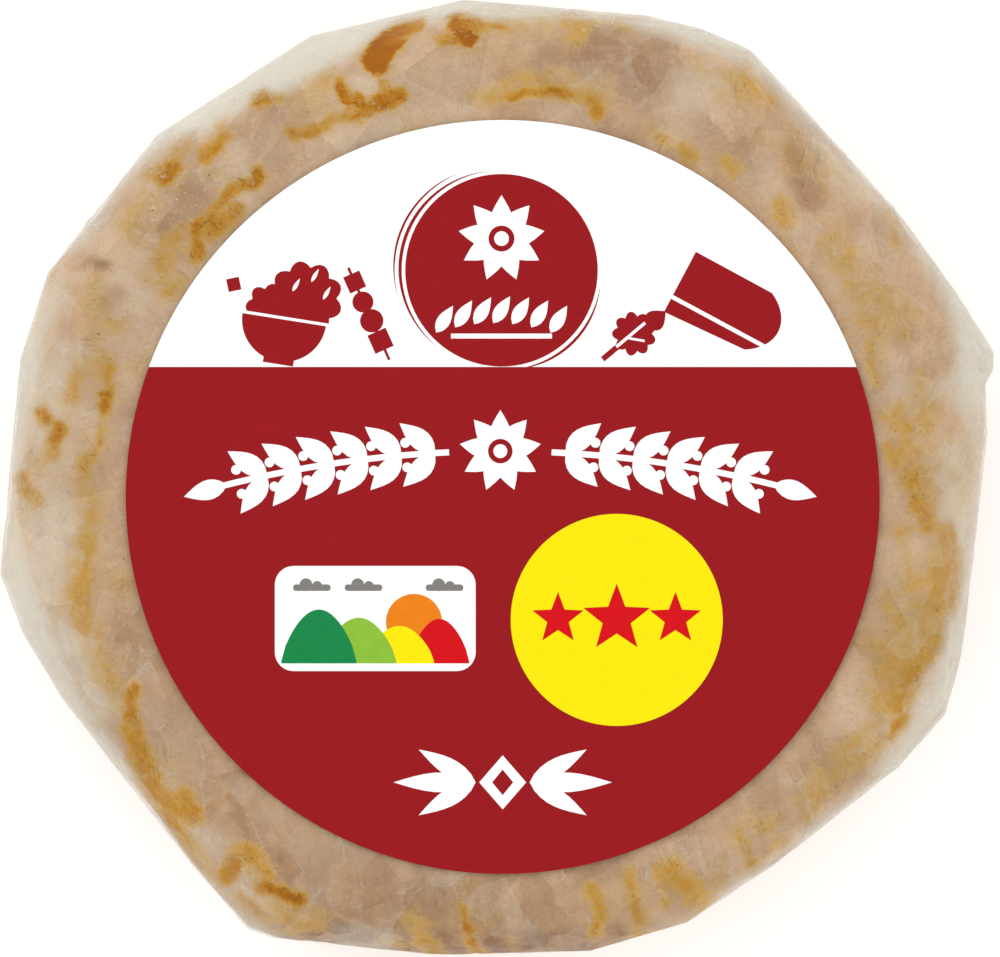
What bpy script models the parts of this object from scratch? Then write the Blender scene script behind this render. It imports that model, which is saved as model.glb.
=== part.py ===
"""A small soft cheese wheel, wrapped in thin film that is folded under its base, with a round label on top.

Run it with blender --background --python part.py, or from Blender's text editor.
Lengths are in metres, +Z is up, and the origin is the middle of the base. -Y is the side nearest the viewer
of the label, and +Y is the label's upper edge.
"""

import math

import bmesh
import bpy

MM = 0.001

# Heights of the wrapped cheese, from the surface that it stands on.
PACK_HEIGHT = 24.6 * MM
SIDE_TOP = 14.0 * MM
SIDE_BOTTOM = 3.2 * MM

# Round forms of the cheese that the film follows.
TOP_RADIUS = 34.0 * MM
WHEEL_RADIUS = 40.6 * MM
BASE_RADIUS = 38.2 * MM
SHOULDER_FULLNESS = 0.82
SHOULDER_STEPS = 7
EDGE_STEPS = 3

# Share of the folded outline that the film keeps where it turns under the base, and of the pleats' thickness
# that is left half way up the side.
FOLDS_AT_BASE = 0.55
SIDE_PLEAT_SHARE = 0.5

# Corners of the folded film seen from above, anticlockwise from +X: degrees, then millimetres from the axis.
# The film is straight between them. The corners from 10.8 to 14 degrees are a fold that stands out as an ear.
FOLD_CORNERS = (
    (5.0, 42.3),
    (10.8, 42.8),
    (12.2, 43.7),
    (14.0, 44.1),
    (22.0, 42.6),
    (34.0, 41.3),
    (59.5, 42.8),
    (66.0, 42.4),
    (72.0, 41.8),
    (94.0, 41.2),
    (113.0, 41.3),
    (135.0, 41.6),
    (155.5, 42.6),
    (166.0, 42.4),
    (191.0, 43.7),
    (198.0, 43.1),
    (207.0, 42.1),
    (232.0, 42.6),
    (241.0, 44.5),
    (244.0, 44.2),
    (263.0, 41.5),
    (281.0, 41.6),
    (293.0, 41.7),
    (306.0, 41.0),
    (324.0, 42.6),
    (332.0, 43.6),
    (338.0, 42.9),
    (343.0, 42.2),
)
COLUMN_STEP_DEG = 4.5

# Pleats that take up the film's spare width: the degrees at which each has its folded edge on the side wall.
# A pleat is thickest at its own edge and thins out towards the next pleat, anticlockwise.
PLEAT_EDGES_DEG = (
    12.2, 34.0, 59.5, 72.0, 94.0, 113.0, 135.0, 155.5, 173.0,
    191.0, 207.0, 232.0, 244.0, 263.0, 281.0, 306.0, 324.0, 343.0,
)
PLEAT_DROP_DEG = 0.9
PLEAT_RISE_ON_SIDE = 0.4 * MM
PLEAT_DEPTH_BELOW = 0.7 * MM

# Under the base the pleats turn in a slow spiral, clockwise from above, to a flat gathered middle.
PLEAT_TWIST_DEG = -34.0
GATHER_RADIUS = 9.0 * MM
UNDERSIDE_RADII = (15.0 * MM, 22.0 * MM, 29.0 * MM, 34.5 * MM)

# The paper label, which lies on the film a little off the middle.
LABEL_RADIUS = 32.1 * MM
LABEL_THICKNESS = 0.2 * MM
LABEL_GAP = 0.3 * MM
LABEL_OFFSET_X = 0.4 * MM
LABEL_OFFSET_Y = -1.7 * MM
LABEL_SEGMENTS = 96

FILM_COLOUR = (0.58, 0.44, 0.30, 1.0)
FILM_ROUGHNESS = 0.38
LABEL_COLOUR = (0.33, 0.014, 0.019, 1.0)
LABEL_ROUGHNESS = 0.45


def clear_scene():
    """Removes whatever the file opened with."""
    for obj in list(bpy.data.objects):
        bpy.data.objects.remove(obj, do_unlink=True)


def painted(name, colour, roughness):
    """A plain material of one colour."""
    material = bpy.data.materials.new(name)
    material.use_nodes = True
    shader = material.node_tree.nodes["Principled BSDF"]
    shader.inputs["Base Color"].default_value = colour
    shader.inputs["Roughness"].default_value = roughness
    shader.inputs["Metallic"].default_value = 0.0
    return material


def blend(low, high, share):
    """The value that lies at share of the way from low to high."""
    return low + (high - low) * share


def corner_point(corner):
    """X and Y of one corner of the folded outline."""
    degrees, millimetres = corner
    angle = math.radians(degrees)
    return (millimetres * MM * math.cos(angle), millimetres * MM * math.sin(angle))


def folded_radius(degrees):
    """Distance from the axis to the straight stretch of folded outline that lies in this direction."""
    corners = list(FOLD_CORNERS) + [(FOLD_CORNERS[0][0] + 360.0, FOLD_CORNERS[0][1])]
    turned = (degrees - corners[0][0]) % 360.0 + corners[0][0]
    index = max(i for i, corner in enumerate(corners[:-1]) if corner[0] <= turned)
    (x1, y1), (x2, y2) = corner_point(corners[index]), corner_point(corners[index + 1])
    across_x, across_y = y2 - y1, x1 - x2
    angle = math.radians(turned)
    facing = across_x * math.cos(angle) + across_y * math.sin(angle)
    return (across_x * x1 + across_y * y1) / facing


def lap(degrees):
    """Share of a pleat's full thickness: 1 at its folded edge, and 0 just before the next one."""
    edges = list(PLEAT_EDGES_DEG) + [PLEAT_EDGES_DEG[0] + 360.0]
    turned = (degrees - edges[0]) % 360.0 + edges[0]
    index = max(i for i, edge in enumerate(edges[:-1]) if edge <= turned)
    width = edges[index + 1] - PLEAT_DROP_DEG - edges[index]
    return max(0.0, 1.0 - (turned - edges[index]) / width)


def column_directions():
    """The directions, in degrees, of the columns of points: each corner and pleat edge, with even steps between."""
    wanted = {corner[0] for corner in FOLD_CORNERS} | set(PLEAT_EDGES_DEG)
    wanted |= {edge - PLEAT_DROP_DEG for edge in PLEAT_EDGES_DEG}
    ordered = sorted(wanted)
    directions = []
    for start, end in zip(ordered, ordered[1:] + [ordered[0] + 360.0]):
        steps = max(1, round((end - start) / COLUMN_STEP_DEG))
        directions += [blend(start, end, step / steps) for step in range(steps)]
    return directions


def spot(degrees, radius, height):
    """A point by its direction from the axis, its distance from the axis and its height."""
    angle = math.radians(degrees)
    return (radius * math.cos(angle), radius * math.sin(angle), height)


def underside_ring(directions, radius):
    """A ring of the film under the base, with pleats that lap over each other on their way to the middle."""
    twist = PLEAT_TWIST_DEG * (1.0 - radius / BASE_RADIUS)
    inward = (radius - GATHER_RADIUS) / (BASE_RADIUS - GATHER_RADIUS)
    depth = PLEAT_DEPTH_BELOW * math.sin(math.pi * inward)
    return [spot(degrees + twist, radius, depth * (1.0 - lap(degrees))) for degrees in directions]


def side_ring(directions, round_radius, fold_share, pleat_share, height):
    """A level ring of the film: a circle at fold_share 0 and the folded outline at 1, with its pleats on it."""
    points = []
    for degrees in directions:
        radius = blend(round_radius, folded_radius(degrees), fold_share)
        radius -= PLEAT_RISE_ON_SIDE * pleat_share * (1.0 - lap(degrees))
        points.append(spot(degrees, radius, height))
    return points


def wrapped_rings(directions):
    """All rings of the wrapped cheese, from the gathered middle of its base, round the side, to its flat top."""
    rings = [underside_ring(directions, radius) for radius in (GATHER_RADIUS, *UNDERSIDE_RADII)]
    for step in range(EDGE_STEPS + 1):
        turn = math.radians(90.0 * step / EDGE_STEPS)
        radius = blend(BASE_RADIUS, WHEEL_RADIUS, math.sin(turn))
        fold_share = FOLDS_AT_BASE * math.sin(turn)
        height = SIDE_BOTTOM * (1.0 - math.cos(turn))
        rings.append(side_ring(directions, radius, fold_share, math.sin(turn), height))
    middle = blend(SIDE_BOTTOM, SIDE_TOP, 0.45)
    rings.append(side_ring(directions, WHEEL_RADIUS, 1.0, SIDE_PLEAT_SHARE, middle))
    for step in range(SHOULDER_STEPS + 1):
        turn = math.radians(90.0 * step / SHOULDER_STEPS)
        rise = math.sin(turn) ** SHOULDER_FULLNESS
        reach = math.cos(turn) ** SHOULDER_FULLNESS
        height = blend(SIDE_TOP, PACK_HEIGHT, rise)
        rings.append(side_ring(directions, TOP_RADIUS, reach, 0.0, height))
    return rings


def loft(name, rings):
    """A closed solid through rings that all have the same number of points, from the lowest to the highest."""
    shape = bmesh.new()
    levels = [[shape.verts.new(point) for point in points] for points in rings]
    for lower, upper in zip(levels, levels[1:]):
        for index in range(len(lower)):
            after = (index + 1) % len(lower)
            shape.faces.new((lower[index], lower[after], upper[after], upper[index]))
    shape.faces.new(reversed(levels[0]))
    shape.faces.new(levels[-1])
    bmesh.ops.recalc_face_normals(shape, faces=shape.faces)
    mesh = bpy.data.meshes.new(name)
    shape.to_mesh(mesh)
    shape.free()
    return mesh


def add_object(collection, mesh, material, sharp_degrees):
    """Puts a mesh in the collection, shaded smooth but for edges sharper than sharp_degrees."""
    obj = bpy.data.objects.new(mesh.name, mesh)
    collection.objects.link(obj)
    mesh.materials.append(material)
    mesh.shade_smooth()
    mesh.set_sharp_from_angle(angle=math.radians(sharp_degrees))
    return obj


def build_wrapped_cheese(collection):
    """The cheese in its film: one solid out to the film, as the film shuts it in."""
    mesh = loft("wrapped_cheese", wrapped_rings(column_directions()))
    material = painted("wrapped_rind", FILM_COLOUR, FILM_ROUGHNESS)
    return add_object(collection, mesh, material, sharp_degrees=25.0)


def build_label(collection):
    """The round paper label on top."""
    shape = bmesh.new()
    bmesh.ops.create_cone(
        shape,
        cap_ends=True,
        segments=LABEL_SEGMENTS,
        radius1=LABEL_RADIUS,
        radius2=LABEL_RADIUS,
        depth=LABEL_THICKNESS,
    )
    mesh = bpy.data.meshes.new("label")
    shape.to_mesh(mesh)
    shape.free()
    material = painted("printed_paper", LABEL_COLOUR, LABEL_ROUGHNESS)
    label = add_object(collection, mesh, material, sharp_degrees=40.0)
    middle = PACK_HEIGHT + LABEL_GAP + LABEL_THICKNESS / 2
    label.location = (LABEL_OFFSET_X, LABEL_OFFSET_Y, middle)
    return label


def main():
    clear_scene()
    collection = bpy.data.collections.new("wrapped_cheese_wheel")
    bpy.context.scene.collection.children.link(collection)
    build_wrapped_cheese(collection)
    build_label(collection)


main()
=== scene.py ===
"""Looks of the small wrapped soft cheese: its film, the cheese in it and the printed label.

Lengths are in metres, and in millimetres where a name or comment says mm. Directions round the axis are in
degrees, anticlockwise from +X as seen from above. Places on the rind and the film are given as a direction
and a distance from the axis in mm, and were read off the photograph. The last number that bumps takes
is the seed of its random values.
"""

import math
import random

import bmesh
import bpy
import numpy as np
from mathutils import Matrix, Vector, geometry, noise


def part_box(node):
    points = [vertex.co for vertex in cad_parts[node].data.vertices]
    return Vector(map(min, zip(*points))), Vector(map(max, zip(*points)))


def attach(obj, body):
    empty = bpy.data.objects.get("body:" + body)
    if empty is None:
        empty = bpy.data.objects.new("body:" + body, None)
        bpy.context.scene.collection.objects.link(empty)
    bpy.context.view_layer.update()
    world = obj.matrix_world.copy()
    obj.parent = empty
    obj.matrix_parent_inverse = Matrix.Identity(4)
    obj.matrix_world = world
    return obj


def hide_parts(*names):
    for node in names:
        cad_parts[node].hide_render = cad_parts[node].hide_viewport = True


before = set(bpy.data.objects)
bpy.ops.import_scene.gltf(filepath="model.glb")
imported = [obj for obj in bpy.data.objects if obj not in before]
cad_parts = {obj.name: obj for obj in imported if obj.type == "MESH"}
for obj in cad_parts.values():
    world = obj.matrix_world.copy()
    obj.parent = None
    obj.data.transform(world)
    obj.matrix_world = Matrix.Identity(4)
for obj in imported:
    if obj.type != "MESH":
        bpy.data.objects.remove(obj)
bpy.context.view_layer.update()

MM = 0.001
FULL_TURN = 360.0
HALF_TURN = 180.0

# Sizes of the wrapped cheese and the label, from the frame.
LABEL_LOW, LABEL_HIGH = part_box("label")
PACK_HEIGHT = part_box("wrapped_cheese")[1].z
LABEL_CENTRE = (LABEL_LOW + LABEL_HIGH) / 2
LABEL_RADIUS = (LABEL_HIGH.x - LABEL_LOW.x) / 2

# Forms of the film, as the CAD has them.
TOP_RADIUS = 34.0 * MM
WHEEL_RADIUS = 40.6 * MM
BASE_RADIUS = 38.2 * MM
SIDE_TOP = 14.0 * MM
SIDE_BOTTOM = 3.2 * MM
SHOULDER_FULLNESS = 0.82
FOLDS_AT_BASE = 0.55
FOLD_CORNERS = (
    (5.0, 42.3), (10.8, 42.8), (12.2, 43.7), (14.0, 44.1), (22.0, 42.6), (34.0, 41.3), (59.5, 42.8),
    (66.0, 42.4), (72.0, 41.8), (94.0, 41.2), (113.0, 41.3), (135.0, 41.6), (155.5, 42.6), (166.0, 42.4),
    (191.0, 43.7), (198.0, 43.1), (207.0, 42.1), (232.0, 42.6), (241.0, 44.5), (244.0, 44.2),
    (263.0, 41.5), (281.0, 41.6), (293.0, 41.7), (306.0, 41.0), (324.0, 42.6), (332.0, 43.6),
    (338.0, 42.9), (343.0, 42.2),
)
PLEAT_EDGES_DEG = (
    12.2, 34.0, 59.5, 72.0, 94.0, 113.0, 135.0, 155.5, 173.0,
    191.0, 207.0, 232.0, 244.0, 263.0, 281.0, 306.0, 324.0, 343.0,
)
PLEAT_DEPTH_BELOW = 0.7 * MM
PLEAT_TWIST_DEG = -34.0
GATHER_RADIUS = 9.0 * MM
LAP_DROP_DEG = 0.7

# Columns and rings of points, the smallest ring under the base, and the rings on top in mm from the axis.
COLUMNS = 840
BASE_RINGS = 27
EDGE_RINGS = 7
WALL_RINGS = 21
SHOULDER_RINGS = 48
SHOULDER_CURVE_STEPS = 400
INNER_RING = 0.9 * MM
TOP_RINGS_MM = (33.66, 33.32, 32.98, 32.64, 32.3, 31.96, 31.6, 31.2, 30.8, 30.3, 27.0, 21.0, 12.0, 3.0)

# Flaps that the pleats leave on the side: each starts below the shoulder and widens downwards.
FLAP_TOP = 14.0 * MM
FLAP_FULL = 8.0 * MM
FLAP_LEAN_DEG = -8.0
FLAP_LEAN_CURVE = 1.25
FLAP_RISE = 0.38 * MM
FLAP_FADE_DEG = 3.0

# Unevenness of the film: broad on its wall, fine everywhere, and deep in the gathered middle of the base.
# Hollows take up at most HOLLOW_SHARE of the room between film and rind, and FILM_CLEARANCE is kept from the
# floor and the label.
WALL_CRUMPLE = 0.45 * MM
FINE_CRUMPLE = 0.04 * MM
GATHER_CRUMPLE = 0.5 * MM
HOLLOW_SHARE = 0.7
FILM_CLEARANCE = 0.02 * MM

# The top is a little domed, up to the label that lies on it.
DOME_RISE = LABEL_LOW.z - PACK_HEIGHT - 0.03 * MM
DOME_START = LABEL_RADIUS + 0.3 * MM
DOME_EDGE = LABEL_RADIUS + 3.4 * MM

# Length down the film that counts for its streaks as one radian round it does, before each pattern's scales.
FLOW_LENGTH = 40.0 * MM

# How far the rind reaches under the film: its distance from the axis, by direction.
RIND_REACH = (
    (0, 40.4), (10, 40.8), (20, 41.2), (30, 41.0), (40, 40.5), (48, 40.6), (58, 41.3), (68, 41.0),
    (78, 40.4), (88, 39.6), (96, 39.6), (103, 40.1), (110, 39.2), (118, 38.9), (128, 39.3), (136, 40.4),
    (145, 41.0), (154, 41.8), (162, 41.2), (172, 40.5), (182, 41.1), (192, 41.6), (202, 40.9),
    (212, 40.3), (220, 40.7), (230, 41.6), (240, 43.2), (246, 43.4), (254, 41.9), (262, 41.1),
    (275, 40.8), (288, 41.1), (300, 40.7), (310, 40.5), (322, 41.0), (332, 41.4), (342, 40.9),
    (352, 40.3),
)
RIND_SPREAD = 1.6 * MM
RIND_CLEARANCE = 0.3 * MM
CLING_CLEARANCE = 0.06 * MM
MILKY_GAP = 4.0 * MM
RIND_BASE = 1.0 * MM
RIND_TOP = PACK_HEIGHT - 0.3 * MM
RIND_BASE_GAP = 1.4 * MM
RIND_WALL_GAP = 1.2 * MM

# Unevenness of the rind in mm: broad rolls, fine pits and the hollows of stains, and its limits.
RIND_ROLLS_MM = 0.12
RIND_PITS_MM = 0.06
STAIN_HOLLOW_MM = 0.1
RIND_DEEPEST = -0.4 * MM
RIND_HIGHEST = 0.02 * MM

# Where the film stops clinging, by direction: clear inside this distance from the axis, and milky outside.
CLING_REACH = (
    (0, 40.2), (6, 40.4), (10, 39.8), (14, 40.9), (20, 41.1), (30, 41.0), (36, 40.5), (41, 40.2),
    (46, 40.4), (50, 40.1), (56, 40.9), (61, 41.3), (68, 40.6), (75, 40.5), (80, 40.1), (85, 39.5),
    (90, 39.2), (95, 39.3), (100, 39.9), (103, 39.9), (107, 39.0), (112, 38.0), (118, 37.9), (124, 38.4),
    (130, 38.9), (134, 40.0), (138, 40.6), (145, 41.0), (150, 40.6), (154, 42.0), (160, 41.0),
    (165, 40.3), (170, 40.0), (176, 40.5), (182, 41.2), (187, 41.0), (193, 40.7), (200, 40.4),
    (208, 40.3), (215, 39.9), (221, 40.7), (228, 41.6), (235, 42.6), (240, 43.5), (244, 44.0),
    (250, 42.8), (258, 42.0), (270, 41.6), (282, 41.9), (292, 41.6), (300, 40.7), (308, 40.5),
    (316, 40.8), (322, 41.3), (328, 40.8), (334, 40.8), (340, 40.6), (346, 40.3), (351, 39.7),
    (355, 39.3),
)
CLING_FADE = 2.1
CLING_LEAD = 1.2

# How random patterns are drawn out down the side.
UPRIGHT = np.array([1.0, 1.0, 0.3])
STREAKED = np.array([1.0, 1.0, 0.12])

# How milky the film is where it lies in folds under the base, and on creases for each mm that they rise.
# The whiter creases are partly the film's own whitening and partly a painted highlight.
BASE_VEIL = 0.6
FOLD_VEIL = 0.3
CREASE_VEIL_AND_HIGHLIGHT = 1.5

# How milky the film is at its rim, by direction.
RIM_VEIL = (
    (0, 0.45), (6, 0.5), (11, 0.8), (14, 0.92), (20, 0.8), (30, 0.66), (45, 0.62), (58, 0.62), (70, 0.66),
    (80, 0.7), (90, 0.76), (100, 0.86), (110, 0.95), (120, 0.9), (130, 0.84), (140, 0.66), (149, 0.62),
    (154, 0.3), (160, 0.5), (167, 0.7), (178, 0.66), (185, 0.6), (192, 0.74), (201, 0.78), (209, 0.7),
    (217, 0.6), (226, 0.42), (236, 0.25), (241, 0.4), (247, 0.14), (258, 0.06), (288, 0.06), (295, 0.2),
    (302, 0.6), (315, 0.62), (324, 0.6), (332, 0.74), (341, 0.7), (350, 0.62),
)

# Painted shade: how much the rind is darkened towards brown, by direction, most on its lower side away from
# the key light.
RIND_PAINTED_SHADE = (
    (0, 0.03), (25, 0.0), (50, 0.1), (75, 0.18), (100, 0.14), (120, 0.06), (135, 0.05), (155, 0.0),
    (185, 0.0), (200, 0.13), (220, 0.28), (240, 0.28), (262, 0.32), (282, 0.24), (300, 0.12), (320, 0.22),
    (340, 0.14),
)

# How the film is pulled, by direction: the lean of its fine wrinkles, in degrees round the axis for each mm
# inwards.
WRINKLE_LEAN = (
    (0, 2.6), (20, 2.8), (45, 2.0), (60, 1.0), (80, 0.8), (100, 2.4), (120, 1.5), (150, 0.3), (170, 0.8),
    (190, 2.2), (220, 2.0), (240, 1.4), (255, 0.5), (270, 0.15), (290, 0.1), (305, -0.6), (318, -0.8),
    (335, 0.8), (348, 2.0),
)

# Stains of the rind: strength, half width in mm, and a line of (degrees, mm). Weak ones are straw coloured,
# middling ones ochre and strong ones orange brown.
OCHRE_STAINS = (
    (0.95, 1.05, ((106.3, 37.0), (105.3, 37.6), (104.0, 38.3))),
    (0.75, 0.65, ((104.0, 38.6), (102.0, 39.2), (100.0, 39.5))),
    (0.45, 0.35, ((102.2, 40.4), (100.0, 39.9))),
    (0.95, 0.75, ((95.2, 38.9), (94.6, 38.2), (94.0, 37.6))),
    (0.65, 0.4, ((97.3, 37.5), (95.2, 37.6))),
    (0.75, 0.5, ((94.5, 39.0), (92.0, 38.8), (89.6, 38.6))),
    (0.35, 0.7, ((91.0, 39.2), (88.0, 38.9), (84.8, 38.9))),
    (0.5, 0.8, ((81.2, 39.6), (79.6, 39.2), (80.0, 38.3))),
    (0.45, 0.6, ((76.2, 40.4), (74.0, 40.3))),
    (0.45, 0.4, ((84.0, 39.8), (78.0, 39.9))),
    (0.8, 0.55, ((112.2, 36.2), (112.0, 35.2), (110.8, 34.3), (109.6, 33.5), (107.4, 33.5), (105.6, 33.9))),
    (0.6, 0.35, ((105.6, 33.9), (106.2, 34.7))),
    (0.75, 0.5, ((111.4, 33.1), (109.0, 33.1), (106.0, 33.3), (104.6, 33.6))),
    (0.65, 0.35, ((121.0, 34.3), (119.0, 33.6), (117.0, 33.3), (114.0, 33.5), (111.4, 33.0))),
    (0.65, 0.6, ((122.6, 38.1), (121.0, 37.8), (119.6, 37.4))),
    (0.3, 1.6, ((117.5, 37.4), (114.5, 37.2))),
    (0.7, 0.35, ((93.0, 32.8), (90.2, 32.3), (88.0, 32.5))),
    (0.85, 0.6, ((88.0, 32.5), (86.0, 33.1), (83.0, 33.4), (79.2, 33.3))),
    (0.6, 0.45, ((80.5, 33.5), (78.0, 33.5), (76.0, 33.3))),
    (0.65, 0.5, ((76.4, 33.3), (75.4, 32.9), (74.8, 32.2))),
    (0.35, 1.0, ((93.0, 32.5), (86.0, 33.8), (80.0, 34.2), (74.5, 34.1))),
    (0.35, 0.9, ((64.0, 39.4), (62.0, 39.1))),
    (0.35, 0.9, ((65.0, 32.3), (63.0, 32.2))),
    (0.55, 0.55, ((61.3, 32.3), (59.0, 31.8))),
    (0.45, 0.7, ((58.6, 40.2), (56.4, 39.9), (54.0, 39.7))),
    (0.28, 1.6, ((60.0, 38.7), (56.5, 38.6))),
    (0.46, 0.7, ((54.0, 33.2), (52.4, 33.1))),
    (0.5, 0.8, ((43.9, 33.2), (42.3, 32.9))),
    (0.42, 0.7, ((33.6, 40.6), (31.8, 40.4), (30.8, 39.8))),
    (0.33, 1.3, ((35.0, 34.9), (31.0, 35.0), (28.0, 34.8))),
    (0.5, 0.75, ((24.6, 34.4), (23.0, 34.1))),
    (0.28, 1.5, ((27.0, 35.6), (22.0, 35.0))),
    (0.5, 0.4, ((20.0, 33.7), (18.4, 33.6))),
    (0.45, 0.4, ((17.6, 33.5), (15.8, 33.4), (14.2, 33.2))),
    (0.4, 0.5, ((19.4, 36.9), (18.4, 36.4))),
    (0.42, 1.3, ((9.0, 34.3), (5.0, 34.9), (1.0, 35.9), (-3.0, 36.6))),
    (0.52, 0.6, ((4.8, 33.5), (2.4, 34.1), (0.4, 34.9))),
    (0.3, 1.2, ((13.0, 36.6), (8.0, 36.9), (2.0, 37.3))),
    (0.6, 0.95, ((-0.5, 35.4), (-3.5, 36.0), (-6.0, 36.9))),
    (0.6, 0.85, ((-7.0, 38.2), (-9.0, 38.9), (-11.5, 39.0))),
    (0.6, 0.7, ((-9.4, 39.4), (-13.0, 40.1), (-16.5, 40.2))),
    (0.5, 1.4, ((-10.0, 38.6), (-15.0, 38.7), (-20.0, 39.0), (-25.0, 38.6), (-30.0, 38.8))),
    (0.6, 0.7, ((-20.0, 39.8), (-22.5, 39.7), (-25.0, 39.2))),
    (0.64, 0.6, ((-26.0, 38.8), (-28.5, 39.5), (-31.0, 40.1), (-33.6, 40.1))),
    (0.4, 1.8, ((-15.0, 37.3), (-22.0, 37.4), (-29.0, 37.6))),
    (0.55, 0.4, ((-11.5, 35.4), (-13.4, 36.3))),
    (0.45, 0.45, ((-17.0, 35.0), (-19.4, 35.3))),
    (0.35, 1.0, ((-8.0, 34.8), (-10.5, 35.1))),
    (0.33, 0.9, ((-24.0, 35.6), (-29.0, 36.3))),
    (0.3, 1.8, ((-35.0, 39.0), (-40.0, 38.0), (-44.0, 38.2))),
    (0.38, 0.5, ((-43.6, 39.8), (-43.0, 38.3))),
    (0.45, 0.35, ((-47.8, 39.6), (-47.2, 37.6))),
    (0.5, 0.45, ((-56.8, 39.9), (-56.4, 38.0), (-56.0, 36.6))),
    (0.3, 1.3, ((-53.0, 39.5), (-52.5, 36.8))),
    (0.52, 0.95, ((-64.2, 40.0), (-65.6, 37.9), (-66.0, 36.2))),
    (0.5, 0.35, ((-68.6, 39.2), (-68.0, 37.6), (-67.8, 36.0))),
    (0.58, 0.33, ((-72.8, 41.2), (-72.3, 39.4), (-72.0, 37.4), (-71.6, 35.6))),
    (0.64, 0.5, ((-77.8, 39.6), (-76.8, 38.3), (-77.0, 37.0), (-77.2, 36.0))),
    (0.35, 0.4, ((-88.0, 40.2), (-88.6, 39.2))),
    (0.72, 0.38, ((-92.6, 40.9), (-93.4, 39.4), (-94.4, 38.0), (-94.8, 36.9))),
    (0.6, 0.85, ((-97.6, 40.9), (-99.2, 40.3), (-99.6, 39.6))),
    (0.4, 1.0, ((-99.5, 39.2), (-101.0, 38.6))),
    (0.45, 0.45, ((-101.6, 41.2), (-103.6, 41.0))),
    (0.86, 0.6, ((-115.4, 40.0), (-117.6, 40.1), (-119.8, 40.4))),
    (0.48, 1.0, ((-112.0, 41.0), (-114.4, 41.8), (-117.4, 41.4))),
    (0.65, 0.45, ((-117.6, 42.3), (-119.6, 42.3), (-121.6, 42.0))),
    (0.5, 0.5, ((-119.0, 40.6), (-120.6, 40.2))),
    (0.66, 0.9, ((-124.4, 41.2), (-124.0, 40.2), (-124.6, 39.4))),
    (0.55, 0.8, ((-120.6, 39.5), (-122.4, 38.9), (-123.6, 38.6))),
    (0.45, 0.45, ((-126.0, 41.7), (-129.0, 41.2))),
    (0.6, 0.55, ((-129.0, 40.9), (-132.0, 40.7), (-134.6, 40.2))),
    (0.6, 0.9, ((-132.0, 38.9), (-134.2, 38.4))),
    (0.6, 1.0, ((-134.6, 39.8), (-137.0, 39.6), (-140.0, 39.2), (-142.6, 38.6), (-145.0, 38.0))),
    (0.68, 0.65, ((-145.0, 37.8), (-147.4, 37.3), (-149.6, 36.9))),
    (0.76, 0.6, ((-149.2, 37.0), (-149.8, 36.2))),
    (0.4, 1.2, ((-150.0, 37.6), (-155.0, 37.8), (-160.0, 37.2), (-165.0, 37.0), (-170.0, 36.0))),
    (0.5, 0.8, ((-164.6, 36.8), (-167.4, 36.5), (-170.6, 35.9))),
    (0.36, 1.0, ((-170.0, 35.4), (-174.0, 35.0), (-178.0, 34.9))),
    (0.6, 0.6, ((-177.0, 39.4), (-178.4, 40.3), (-179.8, 40.8))),
    (0.36, 0.7, ((178.6, 39.2), (177.0, 38.7))),
    (0.5, 0.55, ((180.4, 35.3), (177.4, 35.2))),
    (0.68, 0.5, ((173.2, 38.9), (172.0, 39.3))),
    (0.7, 0.6, ((177.0, 38.3), (175.0, 38.0), (173.8, 37.6))),
    (0.5, 0.6, ((169.2, 37.0), (166.6, 37.1), (163.8, 36.9))),
    (0.55, 0.35, ((177.6, 34.6), (175.0, 34.1), (172.4, 33.8), (170.2, 33.9))),
    (0.74, 0.5, ((170.0, 34.0), (168.2, 34.2))),
    (0.6, 0.4, ((166.4, 34.1), (164.6, 34.4), (163.4, 35.0))),
    (0.36, 0.8, ((163.4, 35.4), (164.4, 36.2))),
    (0.34, 0.6, ((158.6, 35.3), (157.6, 34.6))),
    (0.38, 1.2, ((149.0, 33.8), (146.0, 34.2), (143.2, 34.0))),
    (0.45, 0.7, ((150.6, 32.2), (148.6, 31.7))),
    (0.74, 0.65, ((143.6, 32.1), (141.8, 32.8), (140.2, 33.3))),
    (0.6, 0.9, ((139.6, 32.3), (137.0, 32.0), (135.0, 31.8))),
    (0.7, 0.4, ((139.0, 33.2), (136.0, 33.1), (133.4, 33.3), (130.6, 33.1))),
    (0.72, 0.5, ((131.0, 33.0), (129.4, 32.6), (128.2, 32.9))),
    (0.78, 0.8, ((138.2, 38.3), (136.4, 38.3))),
    (0.5, 0.5, ((139.0, 39.6), (137.6, 38.9))),
    (0.42, 0.6, ((135.4, 38.8), (133.2, 39.4))),
    (0.62, 0.6, ((132.0, 37.0), (130.4, 37.0), (129.0, 37.4))),
    (0.45, 0.35, ((128.8, 37.8), (128.2, 38.8))),
    (0.3, 1.6, ((145.0, 38.0), (142.0, 37.6))),
)

# How much wider the stains are than their lines say, and the limits of the depth inside them, all in mm.
STAIN_SWELL = 0.12
STAIN_LEAST_DEPTH = -3.0
STAIN_MOST_DEPTH = 1.5

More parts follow.
